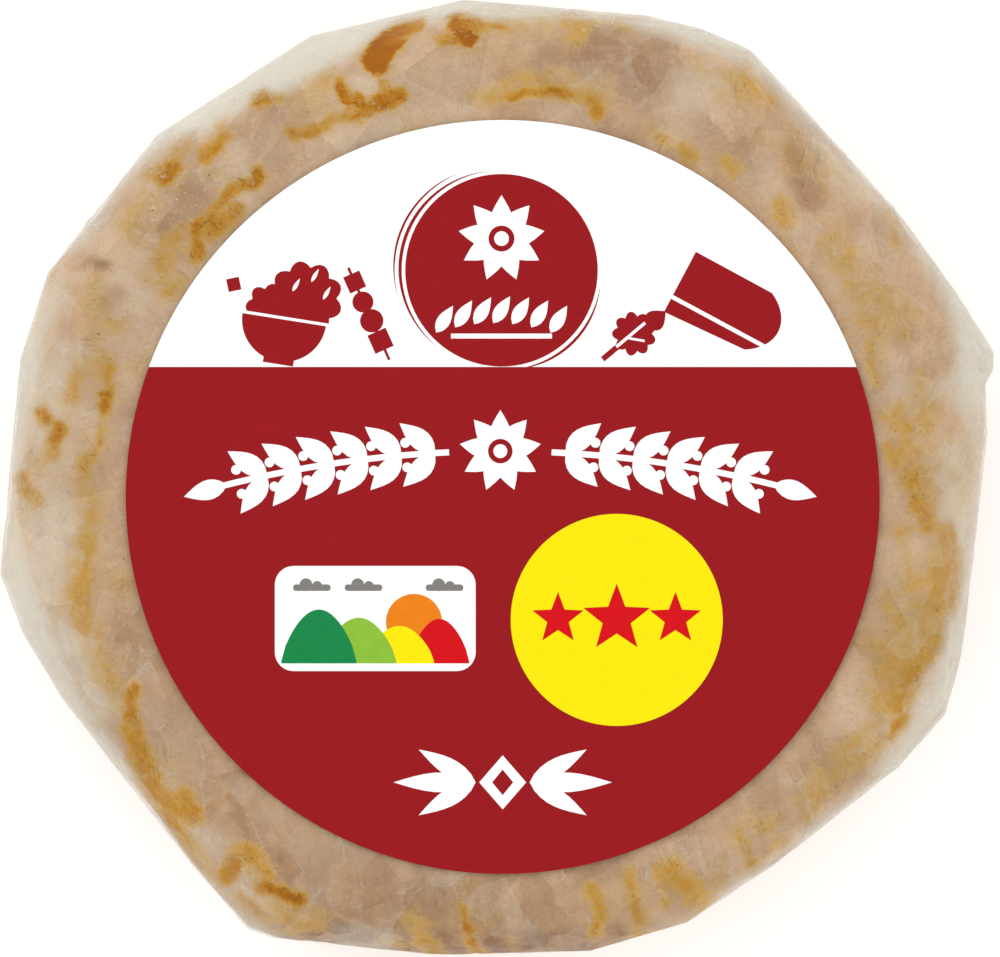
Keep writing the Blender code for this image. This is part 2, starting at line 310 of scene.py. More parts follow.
# Brown and reddish brown places.
BROWN_STAINS = (
    (0.55, 0.9, ((45.6, 37.3), (44.0, 36.4), (42.0, 35.9))),
    (0.4, 1.0, ((47.0, 37.8), (45.0, 36.8))),
    (0.2, 1.5, ((-135.0, 36.9), (-125.0, 37.2), (-112.0, 37.6), (-100.0, 37.4), (-84.0, 37.6))),
    (0.8, 1.1, ((-114.0, 42.0), (-106.0, 41.3), (-98.0, 40.5), (-88.0, 40.3), (-76.0, 40.8))),
    (0.3, 1.6, ((-134.0, 34.6), (-142.0, 34.4), (-156.0, 34.0))),
    (0.45, 0.8, ((83.4, 36.3), (80.6, 36.2), (79.4, 35.7))),
    (0.4, 2.2, ((79.0, 37.4), (74.0, 36.9), (69.5, 37.0))),
    (0.35, 1.4, ((72.0, 35.4), (69.0, 35.0))),
    (0.42, 1.5, ((144.0, 35.8), (141.0, 35.9), (138.0, 35.4))),
    (0.35, 0.5, ((156.0, 36.4), (154.4, 36.0))),
    (0.6, 0.35, ((152.4, 39.4), (151.6, 38.2))),
    (0.4, 0.6, ((111.0, 33.3), (107.0, 33.2))),
    (0.45, 0.5, ((87.0, 33.0), (82.0, 33.4))),
    (0.45, 0.55, ((19.4, 36.9), (18.4, 36.3))),
    (0.4, 0.6, ((4.4, 33.7), (1.6, 34.3))),
    (0.3, 1.8, ((-16.0, 37.6), (-24.0, 37.4), (-30.0, 38.2))),
    (0.35, 1.0, ((-64.5, 39.4), (-66.0, 36.8))),
    (0.6, 0.45, ((-83.2, 41.1), (-84.6, 41.0))),
    (0.35, 0.7, ((-84.0, 40.8), (-90.0, 40.5))),
    (0.65, 0.55, ((-106.2, 39.4), (-108.4, 39.6), (-109.8, 39.5))),
    (0.4, 0.6, ((-106.6, 38.4), (-109.6, 38.3))),
    (0.6, 0.9, ((-101.0, 38.4), (-104.0, 37.6))),
    (0.5, 0.5, ((-120.2, 38.0), (-123.0, 37.5))),
    (0.35, 0.4, ((-125.0, 36.9), (-130.0, 35.7))),
    (0.28, 0.5, ((-154.0, 39.8), (-158.0, 39.9))),
    (0.3, 1.4, ((124.0, 36.6), (121.0, 36.2))),
    (0.3, 1.2, ((58.0, 34.6), (54.0, 35.0), (50.5, 34.6))),
)

# Pale places, where the white bloom of the rind is thick.
PALE_PLACES = (
    (0.25, 1.4, ((104.0, 35.8), (101.0, 36.6), (98.0, 36.6))),
    (0.4, 1.6, ((100.0, 34.4), (96.0, 34.6))),
    (0.45, 0.9, ((109.2, 35.2), (107.6, 35.1))),
    (0.4, 2.0, ((66.0, 36.2), (62.0, 34.6), (60.0, 36.0))),
    (0.35, 0.9, ((50.4, 34.4), (47.0, 34.2))),
    (0.45, 0.8, ((20.4, 34.9), (15.0, 35.1), (10.0, 35.4))),
    (0.35, 1.2, ((3.0, 39.0), (-4.0, 39.4), (-8.0, 40.4))),
    (0.4, 1.6, ((-30.0, 36.0), (-34.0, 36.6))),
    (0.2, 1.4, ((-138.0, 36.0), (-144.0, 36.2))),
    (0.5, 2.2, ((-161.0, 39.2), (-168.0, 39.4), (-175.0, 38.4))),
    (0.4, 1.6, ((-148.0, 40.0), (-152.0, 39.4))),
    (0.45, 1.2, ((177.0, 36.6), (171.0, 36.2))),
    (0.45, 1.0, ((171.0, 38.2), (168.0, 38.6))),
    (0.5, 1.8, ((158.0, 33.4), (154.0, 34.2), (150.0, 36.0), (148.6, 38.0))),
    (0.45, 0.7, ((133.6, 32.0), (131.4, 31.9))),
    (0.4, 1.0, ((129.0, 34.2), (124.0, 34.4))),
    (0.35, 1.4, ((118.0, 32.2), (110.0, 31.8), (98.0, 32.4))),
)

# Milky pockets, where the film stands off the rind inside its clinging edge.
FILM_POCKETS = (
    (0.3, 1.6, ((2.0, 39.6), (-4.0, 39.8), (-8.0, 40.4))),
    (0.35, 0.8, ((11.5, 40.2), (10.8, 38.6))),
    (0.35, 1.2, ((174.0, 39.6), (168.0, 39.0), (165.0, 38.2))),
    (0.35, 1.4, ((-150.0, 40.2), (-158.0, 39.6))),
    (0.3, 1.8, ((-168.0, 40.0), (-176.0, 38.8))),
    (0.35, 1.2, ((-119.4, 41.4), (-122.0, 41.0))),
    (0.35, 0.9, ((-126.0, 40.0), (-129.6, 39.8))),
    (0.3, 0.9, ((-104.0, 41.2), (-108.0, 41.6))),
    (0.35, 0.9, ((160.0, 41.6), (157.4, 41.0))),
    (0.3, 1.2, ((64.0, 37.0), (62.0, 38.6))),
    (0.3, 1.2, ((46.0, 39.4), (38.0, 39.6))),
    (0.4, 0.8, ((149.8, 41.2), (147.6, 41.3))),
)

# Creases of the film on top: rise in mm, half width in mm, and a line of (degrees, mm).
TOP_CREASES = (
    (0.2, 0.3, ((107.0, 40.2), (100.0, 40.0), (95.0, 39.6), (88.0, 39.4), (82.0, 39.6), (76.0, 40.2))),
    (0.2, 0.3, ((76.0, 40.2), (70.0, 40.8), (66.0, 41.0), (60.0, 42.2))),
    (0.16, 0.22, ((68.6, 40.6), (67.4, 38.6), (66.2, 37.4))),
    (0.14, 0.22, ((66.4, 41.0), (65.0, 39.6), (64.0, 38.0))),
    (0.22, 0.3, ((11.8, 43.0), (11.7, 41.6), (12.0, 39.8))),
    (0.16, 0.25, ((20.0, 42.7), (15.0, 43.0), (12.4, 43.1))),
    (0.14, 0.22, ((14.0, 40.0), (8.0, 38.6), (4.6, 37.5))),
    (0.12, 0.2, ((20.0, 37.8), (13.0, 36.8))),
    (0.12, 0.2, ((22.0, 39.2), (17.0, 38.2))),
    (0.12, 0.2, ((37.4, 36.4), (34.8, 37.4))),
    (0.12, 0.2, ((29.4, 37.4), (27.4, 36.4))),
    (0.2, 0.25, ((151.6, 41.8), (150.4, 40.8), (149.2, 40.9), (148.4, 41.5), (147.2, 41.2))),
    (0.14, 0.22, ((159.6, 40.6), (158.4, 41.4), (157.6, 41.8))),
    (0.16, 0.22, ((158.4, 38.0), (157.4, 39.4), (156.8, 41.0))),
    (0.12, 0.22, ((163.2, 40.8), (163.0, 38.0))),
    (0.14, 0.25, ((190.8, 42.0), (185.0, 42.0))),
    (0.14, 0.25, ((204.4, 39.9), (201.0, 39.4), (196.6, 39.2))),
    (0.16, 0.3, ((136.0, 40.4), (133.0, 39.2))),
    (0.14, 0.22, ((241.6, 43.8), (238.0, 41.0), (236.0, 39.0))),
    (0.12, 0.22, ((244.4, 43.6), (246.0, 41.0), (247.0, 38.0))),
    (0.14, 0.22, ((265.4, 38.4), (265.0, 34.6))),
    (0.12, 0.2, ((271.6, 38.6), (270.4, 35.6))),
    (0.12, 0.2, ((277.6, 38.2), (278.4, 35.4))),
    (0.14, 0.22, ((281.2, 40.8), (281.8, 37.4))),
    (0.12, 0.22, ((294.2, 36.8), (293.4, 34.6))),
    (0.14, 0.22, ((297.6, 37.0), (296.4, 35.4))),
    (0.12, 0.22, ((307.0, 36.8), (308.6, 35.2))),
    (0.14, 0.22, ((312.6, 39.6), (314.4, 37.2))),
    (0.16, 0.25, ((332.4, 42.8), (331.0, 40.8), (328.0, 38.8))),
    (0.14, 0.25, ((333.6, 42.6), (338.0, 41.4), (342.0, 40.6))),
)
CREASE_SEED = 11

# Short creases of no fixed place on top, as ranges in mm. Their lean is in radians, a middle and a spread:
# they run nearly straight where the film is pulled straight.
FREE_CREASE_COUNT = 130
FREE_CREASE_REACH_MM = (32.5, 41.0)
FREE_CREASE_LENGTH_MM = (1.0, 4.0)
FREE_CREASE_RISE_MM = (0.04, 0.12)
FREE_CREASE_WIDTH_MM = (0.26, 0.4)
FREE_CREASE_LEAN = (0.9, 0.6)
STRAIGHT_LEAN = (0.0, 0.35)
STRAIGHT_PULL_DEG = (235.0, 320.0)

# Creases that fan out down the side from each corner, as ranges in mm and in degrees from the corner.
SIDE_CREASES_PER_CORNER = 4
SIDE_CREASE_TOP_MM = (12.5, 16.5)
SIDE_CREASE_FOOT_MM = (1.5, 9.0)
SIDE_CREASE_DEPTH_MM = (0.1, 0.3)
SIDE_CREASE_WIDTH_MM = (0.25, 0.5)
SIDE_CREASE_START_DEG = (-1.0, 1.0)
SIDE_CREASE_END_DEG = (-8.0, 8.0)

# How strongly straight streaks show, by direction.
STREAK_STRENGTH = (
    (0, 0.35), (60, 0.3), (120, 0.25), (180, 0.3), (230, 0.4), (255, 0.8), (275, 1.0), (300, 1.0),
    (322, 0.8), (340, 0.4),
)

# Places where the film is finely crinkled and glitters.
FILM_GLINTS = (
    (0.9, 0.6, ((82.0, 39.9), (78.0, 39.8))),
    (0.7, 0.5, ((76.0, 40.7), (73.0, 40.6))),
    (0.6, 0.5, ((96.0, 37.6), (93.0, 37.8))),
    (0.6, 0.4, ((102.0, 40.3), (98.0, 40.0))),
    (0.5, 0.5, ((92.0, 39.6), (88.0, 39.8))),
    (0.6, 0.6, ((108.6, 36.0), (106.8, 34.8))),
    (0.6, 0.5, ((112.0, 34.0), (105.0, 33.0))),
    (0.8, 0.8, ((151.4, 41.6), (148.0, 41.2))),
    (0.7, 0.8, ((139.6, 39.4), (133.6, 40.0))),
    (0.6, 1.2, ((142.6, 36.8), (137.0, 35.4))),
    (0.6, 1.0, ((128.0, 36.4), (124.6, 35.6))),
    (0.6, 0.7, ((125.0, 38.6), (122.6, 38.4))),
    (0.5, 0.8, ((158.0, 33.8), (156.6, 34.4))),
    (0.5, 0.8, ((153.0, 39.6), (150.6, 37.6))),
    (0.5, 0.6, ((183.0, 40.0), (180.0, 40.4))),
    (0.35, 1.4, ((206.0, 35.4), (196.0, 34.8))),
    (0.4, 1.0, ((240.0, 38.6), (234.0, 37.6))),
    (0.4, 1.0, ((253.4, 39.0), (251.0, 38.2))),
    (0.6, 0.4, ((283.4, 38.6), (282.8, 36.4))),
    (0.4, 0.7, ((296.4, 38.6), (296.8, 36.6))),
    (0.4, 0.8, ((268.0, 36.2), (271.0, 35.4))),
    (0.5, 0.5, ((345.4, 40.3), (336.0, 39.6))),
    (0.4, 0.8, ((322.0, 41.6), (316.0, 40.8))),
    (0.6, 0.6, ((13.2, 42.6), (11.6, 41.4))),
    (0.35, 1.2, ((58.0, 34.8), (52.0, 34.4))),
    (0.35, 1.2, ((46.0, 37.8), (40.0, 36.4))),
    (0.3, 1.2, ((32.0, 37.0), (26.0, 37.4))),
    (0.35, 0.8, ((70.0, 37.6), (64.0, 38.8))),
)

# Inks of the label: red, green and blue from 0 to 255, and how uneven the print is.
INKS = {
    "ink_white": ((251, 251, 249), 0.005),
    "ink_red": ((149, 18, 25), 0.03),
    "ink_yellow": ((245, 227, 0), 0.015),
    "ink_scarlet": ((210, 8, 20), 0.03),
    "ink_green": ((20, 132, 70), 0.03),
    "ink_light_green": ((137, 187, 58), 0.03),
    "ink_orange": ((232, 128, 20), 0.03),
    "ink_grey": ((128, 124, 120), 0.03),
}

# Colours of the rind: its mottled bloom, its stains by strength, and its brown and pale places. The brown
# also paints shade on the rind's lower side, and the pale tone paints light on the rind towards its rim.
BLOOM_TONES = (
    (0.36, (178, 145, 116)),
    (0.45, (186, 153, 120)),
    (0.54, (192, 159, 126)),
    (0.64, (187, 151, 101)),
)
STAIN_TONES = (
    (0.0, (186, 152, 111)),
    (0.25, (186, 149, 91)),
    (0.45, (183, 141, 69)),
    (0.65, (178, 128, 42)),
    (0.8, (168, 109, 13)),
    (0.95, (155, 89, 0)),
)
RIND_BROWN = (140, 102, 70)
RIND_PALE_AND_RIM_LIGHT = (202, 181, 155)
RIND_SPECK = (108, 76, 42)
FILM_MILK = (207, 202, 187)

# Cover of the film where it is clearest and where it is milkiest.
LEAST_COVER = 0.012
MOST_COVER = 0.9

# Lamps, each with its place, size and power in watts, and the camera.
KEY_LIGHT = ((-0.4, 0.45, 0.7), 0.6, 1.6)
FILL_LIGHT = ((0.6, -0.2, 0.6), 0.7, 0.55)
WHITE_LIGHT = (1.0, 1.0, 1.0, 1.0)
CAMERA_DISTANCE = 0.9
PIXELS_PER_METRE = 11600.0
IMAGE_WIDTH = 1000
AXIS_PIXEL = (498.0, 477.0)
IMAGE_CENTRE = (500.0, 478.5)
SENSOR_WIDTH_MM = 36.0
WORLD_STRENGTH = 0.93
FLOOR_HALF_SIZE = 1.5
FLOOR_GLOW = 0.26


def smooth(low, high, value):
    """0 up to low, 1 from high on, and a soft rise between."""
    share = np.clip((value - low) / (high - low), 0.0, 1.0)
    return share * share * (3.0 - 2.0 * share)


def blend(low, high, share):
    """The value that lies at share of the way from low to high."""
    return low + (high - low) * share


def by_direction(table, degrees):
    """Values of a table of (degrees, value) at these directions, with a smooth run between its rows."""
    known = np.array([row[0] for row in table], float)
    values = np.array([row[1] for row in table], float)
    known = np.concatenate([known - FULL_TURN, known, known + FULL_TURN])
    values = np.tile(values, 3)
    index = np.clip(np.searchsorted(known, degrees % FULL_TURN, side="right") - 1, 1, len(known) - 3)
    share = (degrees % FULL_TURN - known[index]) / (known[index + 1] - known[index])
    before, start, end, after = (values[index + step] for step in (-1, 0, 1, 2))
    slope = (end - before) / 2
    next_slope = (after - start) / 2
    square, cube = share ** 2, share ** 3
    return (
        (2 * cube - 3 * square + 1) * start
        + (cube - 2 * square + share) * slope
        + (3 * square - 2 * cube) * end
        + (cube - square) * next_slope
    )


def folded_radius(degrees):
    """Distance from the axis to the straight stretch of folded outline that lies in each direction."""
    corners = np.array(FOLD_CORNERS)
    corners = np.vstack([corners, corners[0] + (FULL_TURN, 0.0)])
    turned = (degrees - corners[0, 0]) % FULL_TURN + corners[0, 0]
    index = np.clip(np.searchsorted(corners[:, 0], turned, side="right") - 1, 0, len(corners) - 2)
    angles = np.radians(corners[:, 0])
    x, y = corners[:, 1] * MM * np.cos(angles), corners[:, 1] * MM * np.sin(angles)
    across_x, across_y = y[index + 1] - y[index], x[index] - x[index + 1]
    facing = across_x * np.cos(np.radians(turned)) + across_y * np.sin(np.radians(turned))
    return (across_x * x[index] + across_y * y[index]) / facing


def past_pleat_edge(degrees):
    """How many degrees each direction lies past the last pleat edge, and how wide that pleat is."""
    edges = np.array(PLEAT_EDGES_DEG + (PLEAT_EDGES_DEG[0] + FULL_TURN,))
    turned = (degrees - edges[0]) % FULL_TURN + edges[0]
    index = np.clip(np.searchsorted(edges, turned, side="right") - 1, 0, len(edges) - 2)
    return turned - edges[index], edges[index + 1] - edges[index]


def bumps(points, size, octaves, seed):
    """Smooth random values, about -1 to 1, at each point. size is the distance from bump to bump."""
    offset = Vector((3.1, 1.7, 5.3)) * seed
    flat = points.reshape(-1, 3) / size
    values = [noise.fractal(Vector(point) + offset, 1.0, 2.0, octaves) for point in flat]
    return np.array(values).reshape(points.shape[:-1])


def line_distance(degrees, radius_mm, line):
    """Distance in mm from each place to a line of (degrees, mm), both seen from above."""
    nearest = np.full(radius_mm.shape, np.inf)
    for (start_deg, start_mm), (end_deg, end_mm) in zip(line, line[1:]):
        middle = (start_mm + end_mm) / 2
        turned = (degrees - start_deg + HALF_TURN) % FULL_TURN - HALF_TURN
        place = np.stack([np.radians(turned) * middle, radius_mm - start_mm])
        reach = np.array([math.radians(end_deg - start_deg) * middle, end_mm - start_mm])
        share = np.clip(np.tensordot(reach, place, axes=1) / (reach @ reach), 0.0, 1.0)
        away = place - reach[:, None, None] * share
        nearest = np.minimum(nearest, np.hypot(away[0], away[1]))
    return nearest


def painted_strokes(degrees, radius_mm, strokes, softness):
    """The strongest stroke at each place: its full strength inside, and 0 beyond its soft margin."""
    field = np.zeros(radius_mm.shape)
    for strength, half_width, line in strokes:
        distance = line_distance(degrees, radius_mm, line)
        margin = softness * (0.35 + half_width)
        share = 1.0 - smooth(half_width - margin / 2, half_width + margin, distance)
        field = np.maximum(field, strength * share)
    return field


def pack_rings():
    """Directions, distances from the axis and heights of the film's rings, and each ring's share of flap.

    They run from the middle of the base, out and up the side, and over the shoulder to the middle of the top.
    """
    columns = np.arange(COLUMNS) * FULL_TURN / COLUMNS
    past, width = past_pleat_edge(columns)
    rings = []

    def add(shift, round_radius, fold_share, height, flap, under):
        directions = columns + shift
        radius = blend(round_radius, folded_radius(directions), fold_share)
        dart = 1.0 - smooth(-shift, -shift + FLAP_FADE_DEG, past)
        lap = np.clip(1.0 - past / (width - LAP_DROP_DEG), 0.0, 1.0)
        raised = blend(dart, lap, under)
        rings.append((directions, radius, np.full(COLUMNS, height), raised, flap, under))

    for radius in np.linspace(INNER_RING, BASE_RADIUS, BASE_RINGS)[:-1]:
        shift = FLAP_LEAN_DEG + PLEAT_TWIST_DEG * (1.0 - radius / BASE_RADIUS)
        under = smooth(0.0, 1.0, (BASE_RADIUS - radius) / (4.0 * MM)) * 0.5 + 0.5
        add(shift, radius, 0.0, 0.0, 0.0, under)
    for turn in np.radians(np.linspace(0.0, 90.0, EDGE_RINGS)):
        height = SIDE_BOTTOM * (1.0 - math.cos(turn))
        round_radius = blend(BASE_RADIUS, WHEEL_RADIUS, math.sin(turn))
        share = FOLDS_AT_BASE * math.sin(turn)
        add(flap_lean(height), round_radius, share, height, math.sin(turn), 0.5 * math.cos(turn))
    for height in np.linspace(SIDE_BOTTOM, SIDE_TOP, WALL_RINGS)[1:-1]:
        share = blend(FOLDS_AT_BASE, 1.0, smooth(SIDE_BOTTOM, SIDE_BOTTOM + 5.0 * MM, height))
        add(flap_lean(height), WHEEL_RADIUS, share, height, 1.0 - smooth(FLAP_FULL, FLAP_TOP, height), 0.0)
    for reach, rise in shoulder_steps(SHOULDER_RINGS):
        add(0.0, TOP_RADIUS, reach, blend(SIDE_TOP, PACK_HEIGHT, rise), 0.0, 0.0)
    for radius_mm in TOP_RINGS_MM:
        add(0.0, radius_mm * MM, 0.0, PACK_HEIGHT, 0.0, 0.0)
    return [np.array(part) for part in zip(*rings)]


def shoulder_steps(count):
    """Shares of reach and rise of the rings over the shoulder, evenly spaced along its curve."""
    turn = np.radians(np.linspace(0.0, 90.0, SHOULDER_CURVE_STEPS))
    reach = np.clip(np.cos(turn), 0.0, 1.0) ** SHOULDER_FULLNESS
    rise = np.clip(np.sin(turn), 0.0, 1.0) ** SHOULDER_FULLNESS
    step = np.hypot(np.diff(reach) * (WHEEL_RADIUS - TOP_RADIUS), np.diff(rise) * (PACK_HEIGHT - SIDE_TOP))
    along = np.concatenate([[0.0], np.cumsum(step)])
    wanted = np.linspace(0.0, along[-1], count)
    return zip(np.interp(wanted, along, reach), np.interp(wanted, along, rise))


def flap_lean(height):
    """How far round the axis a flap's free edge lies from the corner that it starts at, in degrees."""
    return FLAP_LEAN_DEG * max(0.0, 1.0 - height / FLAP_TOP) ** FLAP_LEAN_CURVE


def domed(points):
    """The points, with those of the top raised up to the label."""
    away = np.hypot(points[..., 0] - LABEL_CENTRE.x, points[..., 1] - LABEL_CENTRE.y)
    points[..., 2] += DOME_RISE * (1.0 - smooth(DOME_START, DOME_EDGE, away)) * (points[..., 2] > SIDE_TOP)
    return points


def to_points(directions, radius, height):
    """Points by direction in degrees, distance from the axis and height."""
    angle = np.radians(directions)
    return np.stack([radius * np.cos(angle), radius * np.sin(angle), height], axis=-1)


def outward(points):
    """The direction that faces out of a closed grid of rings at each of its points."""
    around = np.roll(points, -1, axis=1) - np.roll(points, 1, axis=1)
    along = np.gradient(points, axis=0)
    facing = np.cross(around, along)
    return facing / np.maximum(np.linalg.norm(facing, axis=-1, keepdims=True), 1e-12)


def grid_mesh(name, points):
    """A closed mesh from rings of points, with the first and last ring closed by a fan to their middle."""
    rings, columns = points.shape[:2]
    index = np.arange(rings * columns).reshape(rings, columns)
    after = np.roll(index, -1, axis=1)
    quads = np.stack([index[:-1], after[:-1], after[1:], index[1:]], axis=-1).reshape(-1, 4)
    low, high = rings * columns, rings * columns + 1
    fans = [(after[0, i], index[0, i], low) for i in range(columns)]
    fans += [(index[-1, i], after[-1, i], high) for i in range(columns)]
    ends = np.array([points[0].mean(axis=0), points[-1].mean(axis=0)])
    vertices = np.vstack([points.reshape(-1, 3), ends])
    mesh = bpy.data.meshes.new(name)
    mesh.from_pydata(vertices.tolist(), [], quads.tolist() + fans)
    mesh.shade_smooth()
    return mesh


def store(mesh, name, values):
    """Keeps one number for each point of a grid mesh, for its material."""
    ends = [values[0].mean(), values[-1].mean()]
    attribute = mesh.attributes.new(name, "FLOAT", "POINT")
    attribute.data.foreach_set("value", np.concatenate([values.ravel(), ends]).astype(np.float32))


def store_flow(mesh, points, directions, radius, height):
    """Keeps a vector for streaks along the film's pull: it turns fast across them and slowly along them."""
    lean = by_direction(WRINKLE_LEAN, directions)
    inwards = np.clip((BASE_RADIUS - radius) / MM, -3.0, 5.0) * (height > SIDE_TOP)
    angle = np.radians(directions + lean * inwards)
    steps = np.linalg.norm(np.diff(points, axis=0), axis=-1).mean(axis=1)
    along = np.concatenate([[0.0], np.cumsum(steps)])[:, None] * np.ones_like(angle)
    flow = np.stack([np.cos(angle), np.sin(angle), along / FLOW_LENGTH], axis=-1).reshape(-1, 3)
    flow = np.vstack([flow, [(0.0, 0.0, 0.0), (0.0, 0.0, along[-1, 0] / FLOW_LENGTH)]])
    attribute = mesh.attributes.new("flow", "FLOAT_VECTOR", "POINT")
    attribute.data.foreach_set("vector", flow.ravel().astype(np.float32))


def ridge(distance, half_width):
    """Height of a crease across its line: 1 on the line and 0 from its half width on, with a sharp top."""
    return np.clip(1.0 - distance / half_width, 0.0, 1.0) ** 1.3


def free_creases(draw):
    """Short fine creases of the clinging film, which run with the pull of the folds."""
    creases = []
    for _ in range(FREE_CREASE_COUNT):
        start_deg = draw.uniform(0.0, FULL_TURN)
        start_mm = draw.uniform(*FREE_CREASE_REACH_MM)
        length = draw.uniform(*FREE_CREASE_LENGTH_MM)
        straight = STRAIGHT_PULL_DEG[0] < start_deg < STRAIGHT_PULL_DEG[1]
        lean = draw.gauss(*(STRAIGHT_LEAN if straight else FREE_CREASE_LEAN))
        end_mm = start_mm - length * math.cos(lean)
        end_deg = start_deg + math.degrees(length * math.sin(lean) / start_mm)
        line = ((start_deg, start_mm), (end_deg, end_mm))
        creases.append((draw.uniform(*FREE_CREASE_RISE_MM), draw.uniform(*FREE_CREASE_WIDTH_MM), line))
    return creases


def side_creases(draw):
    """Creases that fan out down the side from each corner, as lines of (degrees, height in mm)."""
    creases = []
    for corner in FOLD_CORNERS:
        for _ in range(SIDE_CREASES_PER_CORNER):
            start = (corner[0] + draw.uniform(*SIDE_CREASE_START_DEG), draw.uniform(*SIDE_CREASE_TOP_MM))
            end = (corner[0] + draw.uniform(*SIDE_CREASE_END_DEG), draw.uniform(*SIDE_CREASE_FOOT_MM))
            rise = -draw.uniform(*SIDE_CREASE_DEPTH_MM)
            creases.append((rise, draw.uniform(*SIDE_CREASE_WIDTH_MM), (start, end)))
    return creases


def crease_relief(directions, radius, height):
    """Rise of all creases over the film."""
    draw = random.Random(CREASE_SEED)
    relief = np.zeros(radius.shape)
    above = height >= SIDE_TOP
    for rise, half_width, line in TOP_CREASES + tuple(free_creases(draw)):
        near = ridge(line_distance(directions, radius / MM, line), half_width)
        relief += np.where(above, rise * near, 0.0)
    wall = ~above & (height > 0.2 * MM)
    for rise, half_width, ((start_deg, top_mm), (end_deg, foot_mm)) in side_creases(draw):
        turned = (directions - start_deg + HALF_TURN) % FULL_TURN - HALF_TURN
        around = np.radians(turned) * WHEEL_RADIUS / MM
        share = np.clip((top_mm - height / MM) / (top_mm - foot_mm), 0.0, 1.0)
        end = math.radians(end_deg - start_deg) * WHEEL_RADIUS / MM
        fade = 1.0 - smooth(0.7, 1.0, share)
        near = ridge(np.abs(around - end * share), half_width)
        over = smooth(top_mm + 1.0, top_mm - 1.0, height / MM)
        relief += np.where(wall, rise * near * fade * over, 0.0)
    return relief * MM


def build_film():
    """The film all round the cheese, a closed skin with its folds, flaps, creases and gathered base."""
    directions, radius, height, raised, flap, under = pack_rings()
    flap, under = flap[:, None], under[:, None]
    inward = np.clip((radius - GATHER_RADIUS) / (BASE_RADIUS - GATHER_RADIUS), 0.0, 1.0)
    below = PLEAT_DEPTH_BELOW * np.sin(np.pi * inward) * (1.0 - raised) * (under >= 0.5)
    radius = radius - FLAP_RISE * flap * (1.0 - raised)
    points = domed(to_points(directions, radius, height + below))
    creases = crease_relief(directions, radius, height)
    relief = creases.copy()
    wall = smooth(0.5 * MM, 3.0 * MM, height) * (1.0 - 0.8 * smooth(8.0 * MM, 12.0 * MM, height))
    wall = wall * (1.0 - smooth(SIDE_TOP, PACK_HEIGHT - 1.0 * MM, height))
    relief -= WALL_CRUMPLE * wall * np.abs(bumps(points, 7.0 * MM, 3, 1))
    relief += FINE_CRUMPLE * smooth(0.5 * MM, 3.0 * MM, height) * bumps(points, 1.6 * MM, 2, 2)
    room = radius - rind_radius(directions, radius, height, under) - CLING_CLEARANCE
    relief = np.maximum(relief, -HOLLOW_SHARE * np.maximum(room, 0.0))
    middle = (1.0 - smooth(7.0 * MM, 13.0 * MM, radius)) * (height < 0.5 * MM)
    crumple = np.abs(bumps(points, 3.0 * MM, 3, 3)) * GATHER_CRUMPLE * middle
    points = points + outward(points) * relief[..., None]
    points[..., 2] = np.clip(points[..., 2] + crumple, FILM_CLEARANCE, LABEL_LOW.z - FILM_CLEARANCE)
    mesh = grid_mesh("film", points)
    store(mesh, "veil", film_veil(directions, radius, height, raised, flap, under, points, creases))
    store(mesh, "glint", film_glint(directions, radius, height))
    store(mesh, "pull", by_direction(STREAK_STRENGTH, directions))
    store_flow(mesh, points, directions, radius, height)
    mesh.materials.append(film_material())
    return place(mesh, "wrapped_rind")


def film_veil(directions, radius, height, raised, flap, under, points, creases):
    """How milky the film is: low where it clings to the rind, high where it stands off or is folded, more on
    creases.
    """
    patchy = bumps(points, 2.6 * MM, 3, 4)
    radius_mm = radius / MM + 0.3 * patchy
    edge = by_direction(CLING_REACH, directions) - CLING_LEAD
    rim = by_direction(RIM_VEIL, directions)
    top = rim * smooth(edge, edge + CLING_FADE, radius_mm)
    top = np.maximum(top, painted_strokes(directions, radius_mm, FILM_POCKETS, 1.2))
    depth, strength = stained(directions, radius_mm, OCHRE_STAINS)
    wet = smooth(-0.5, 0.3, depth) * smooth(0.4, 0.9, strength)
    top = top * (1.0 - 0.8 * wet) - 0.2 * wet
    upright = points * UPRIGHT
    loose = 0.1 + 0.5 * rim + 0.6 * bumps(upright, 8.0 * MM, 2, 5) + 0.25 * bumps(upright, 2.2 * MM, 2, 16)
    loose = np.clip(loose, 0.02, 0.85) + FOLD_VEIL * flap * raised
    band = rim * (0.95 + 0.8 * bumps(upright, 6.0 * MM, 2, 17) + 0.3 * patchy)
    streaky = points * STREAKED
    ragged = height + 9.0 * MM * bumps(streaky, 9.0 * MM, 1, 18)
    ragged = ragged + 5.0 * MM * bumps(streaky, 2.6 * MM, 2, 19)
    side = blend(loose, band, smooth(2.5 * MM, 14.0 * MM, ragged))
    base = BASE_VEIL + FOLD_VEIL * raised
    side = blend(side, base, smooth(0.4, 0.6, under * np.ones_like(radius)))
    on_top = smooth(SIDE_TOP - 3.0 * MM, SIDE_TOP + 0.5 * MM, height)
    # Creases add whiteness: partly the film's own whitening, partly a painted highlight.
    return np.clip(blend(side, top, on_top) + CREASE_VEIL_AND_HIGHLIGHT * np.abs(creases) / MM, -0.3, 1.0)


def film_glint(directions, radius, height):
    """Where the film is crinkled so finely that it glitters."""
    strokes = painted_strokes(directions, radius / MM, FILM_GLINTS, 1.5)
    return strokes * (height >= SIDE_TOP) + 0.15


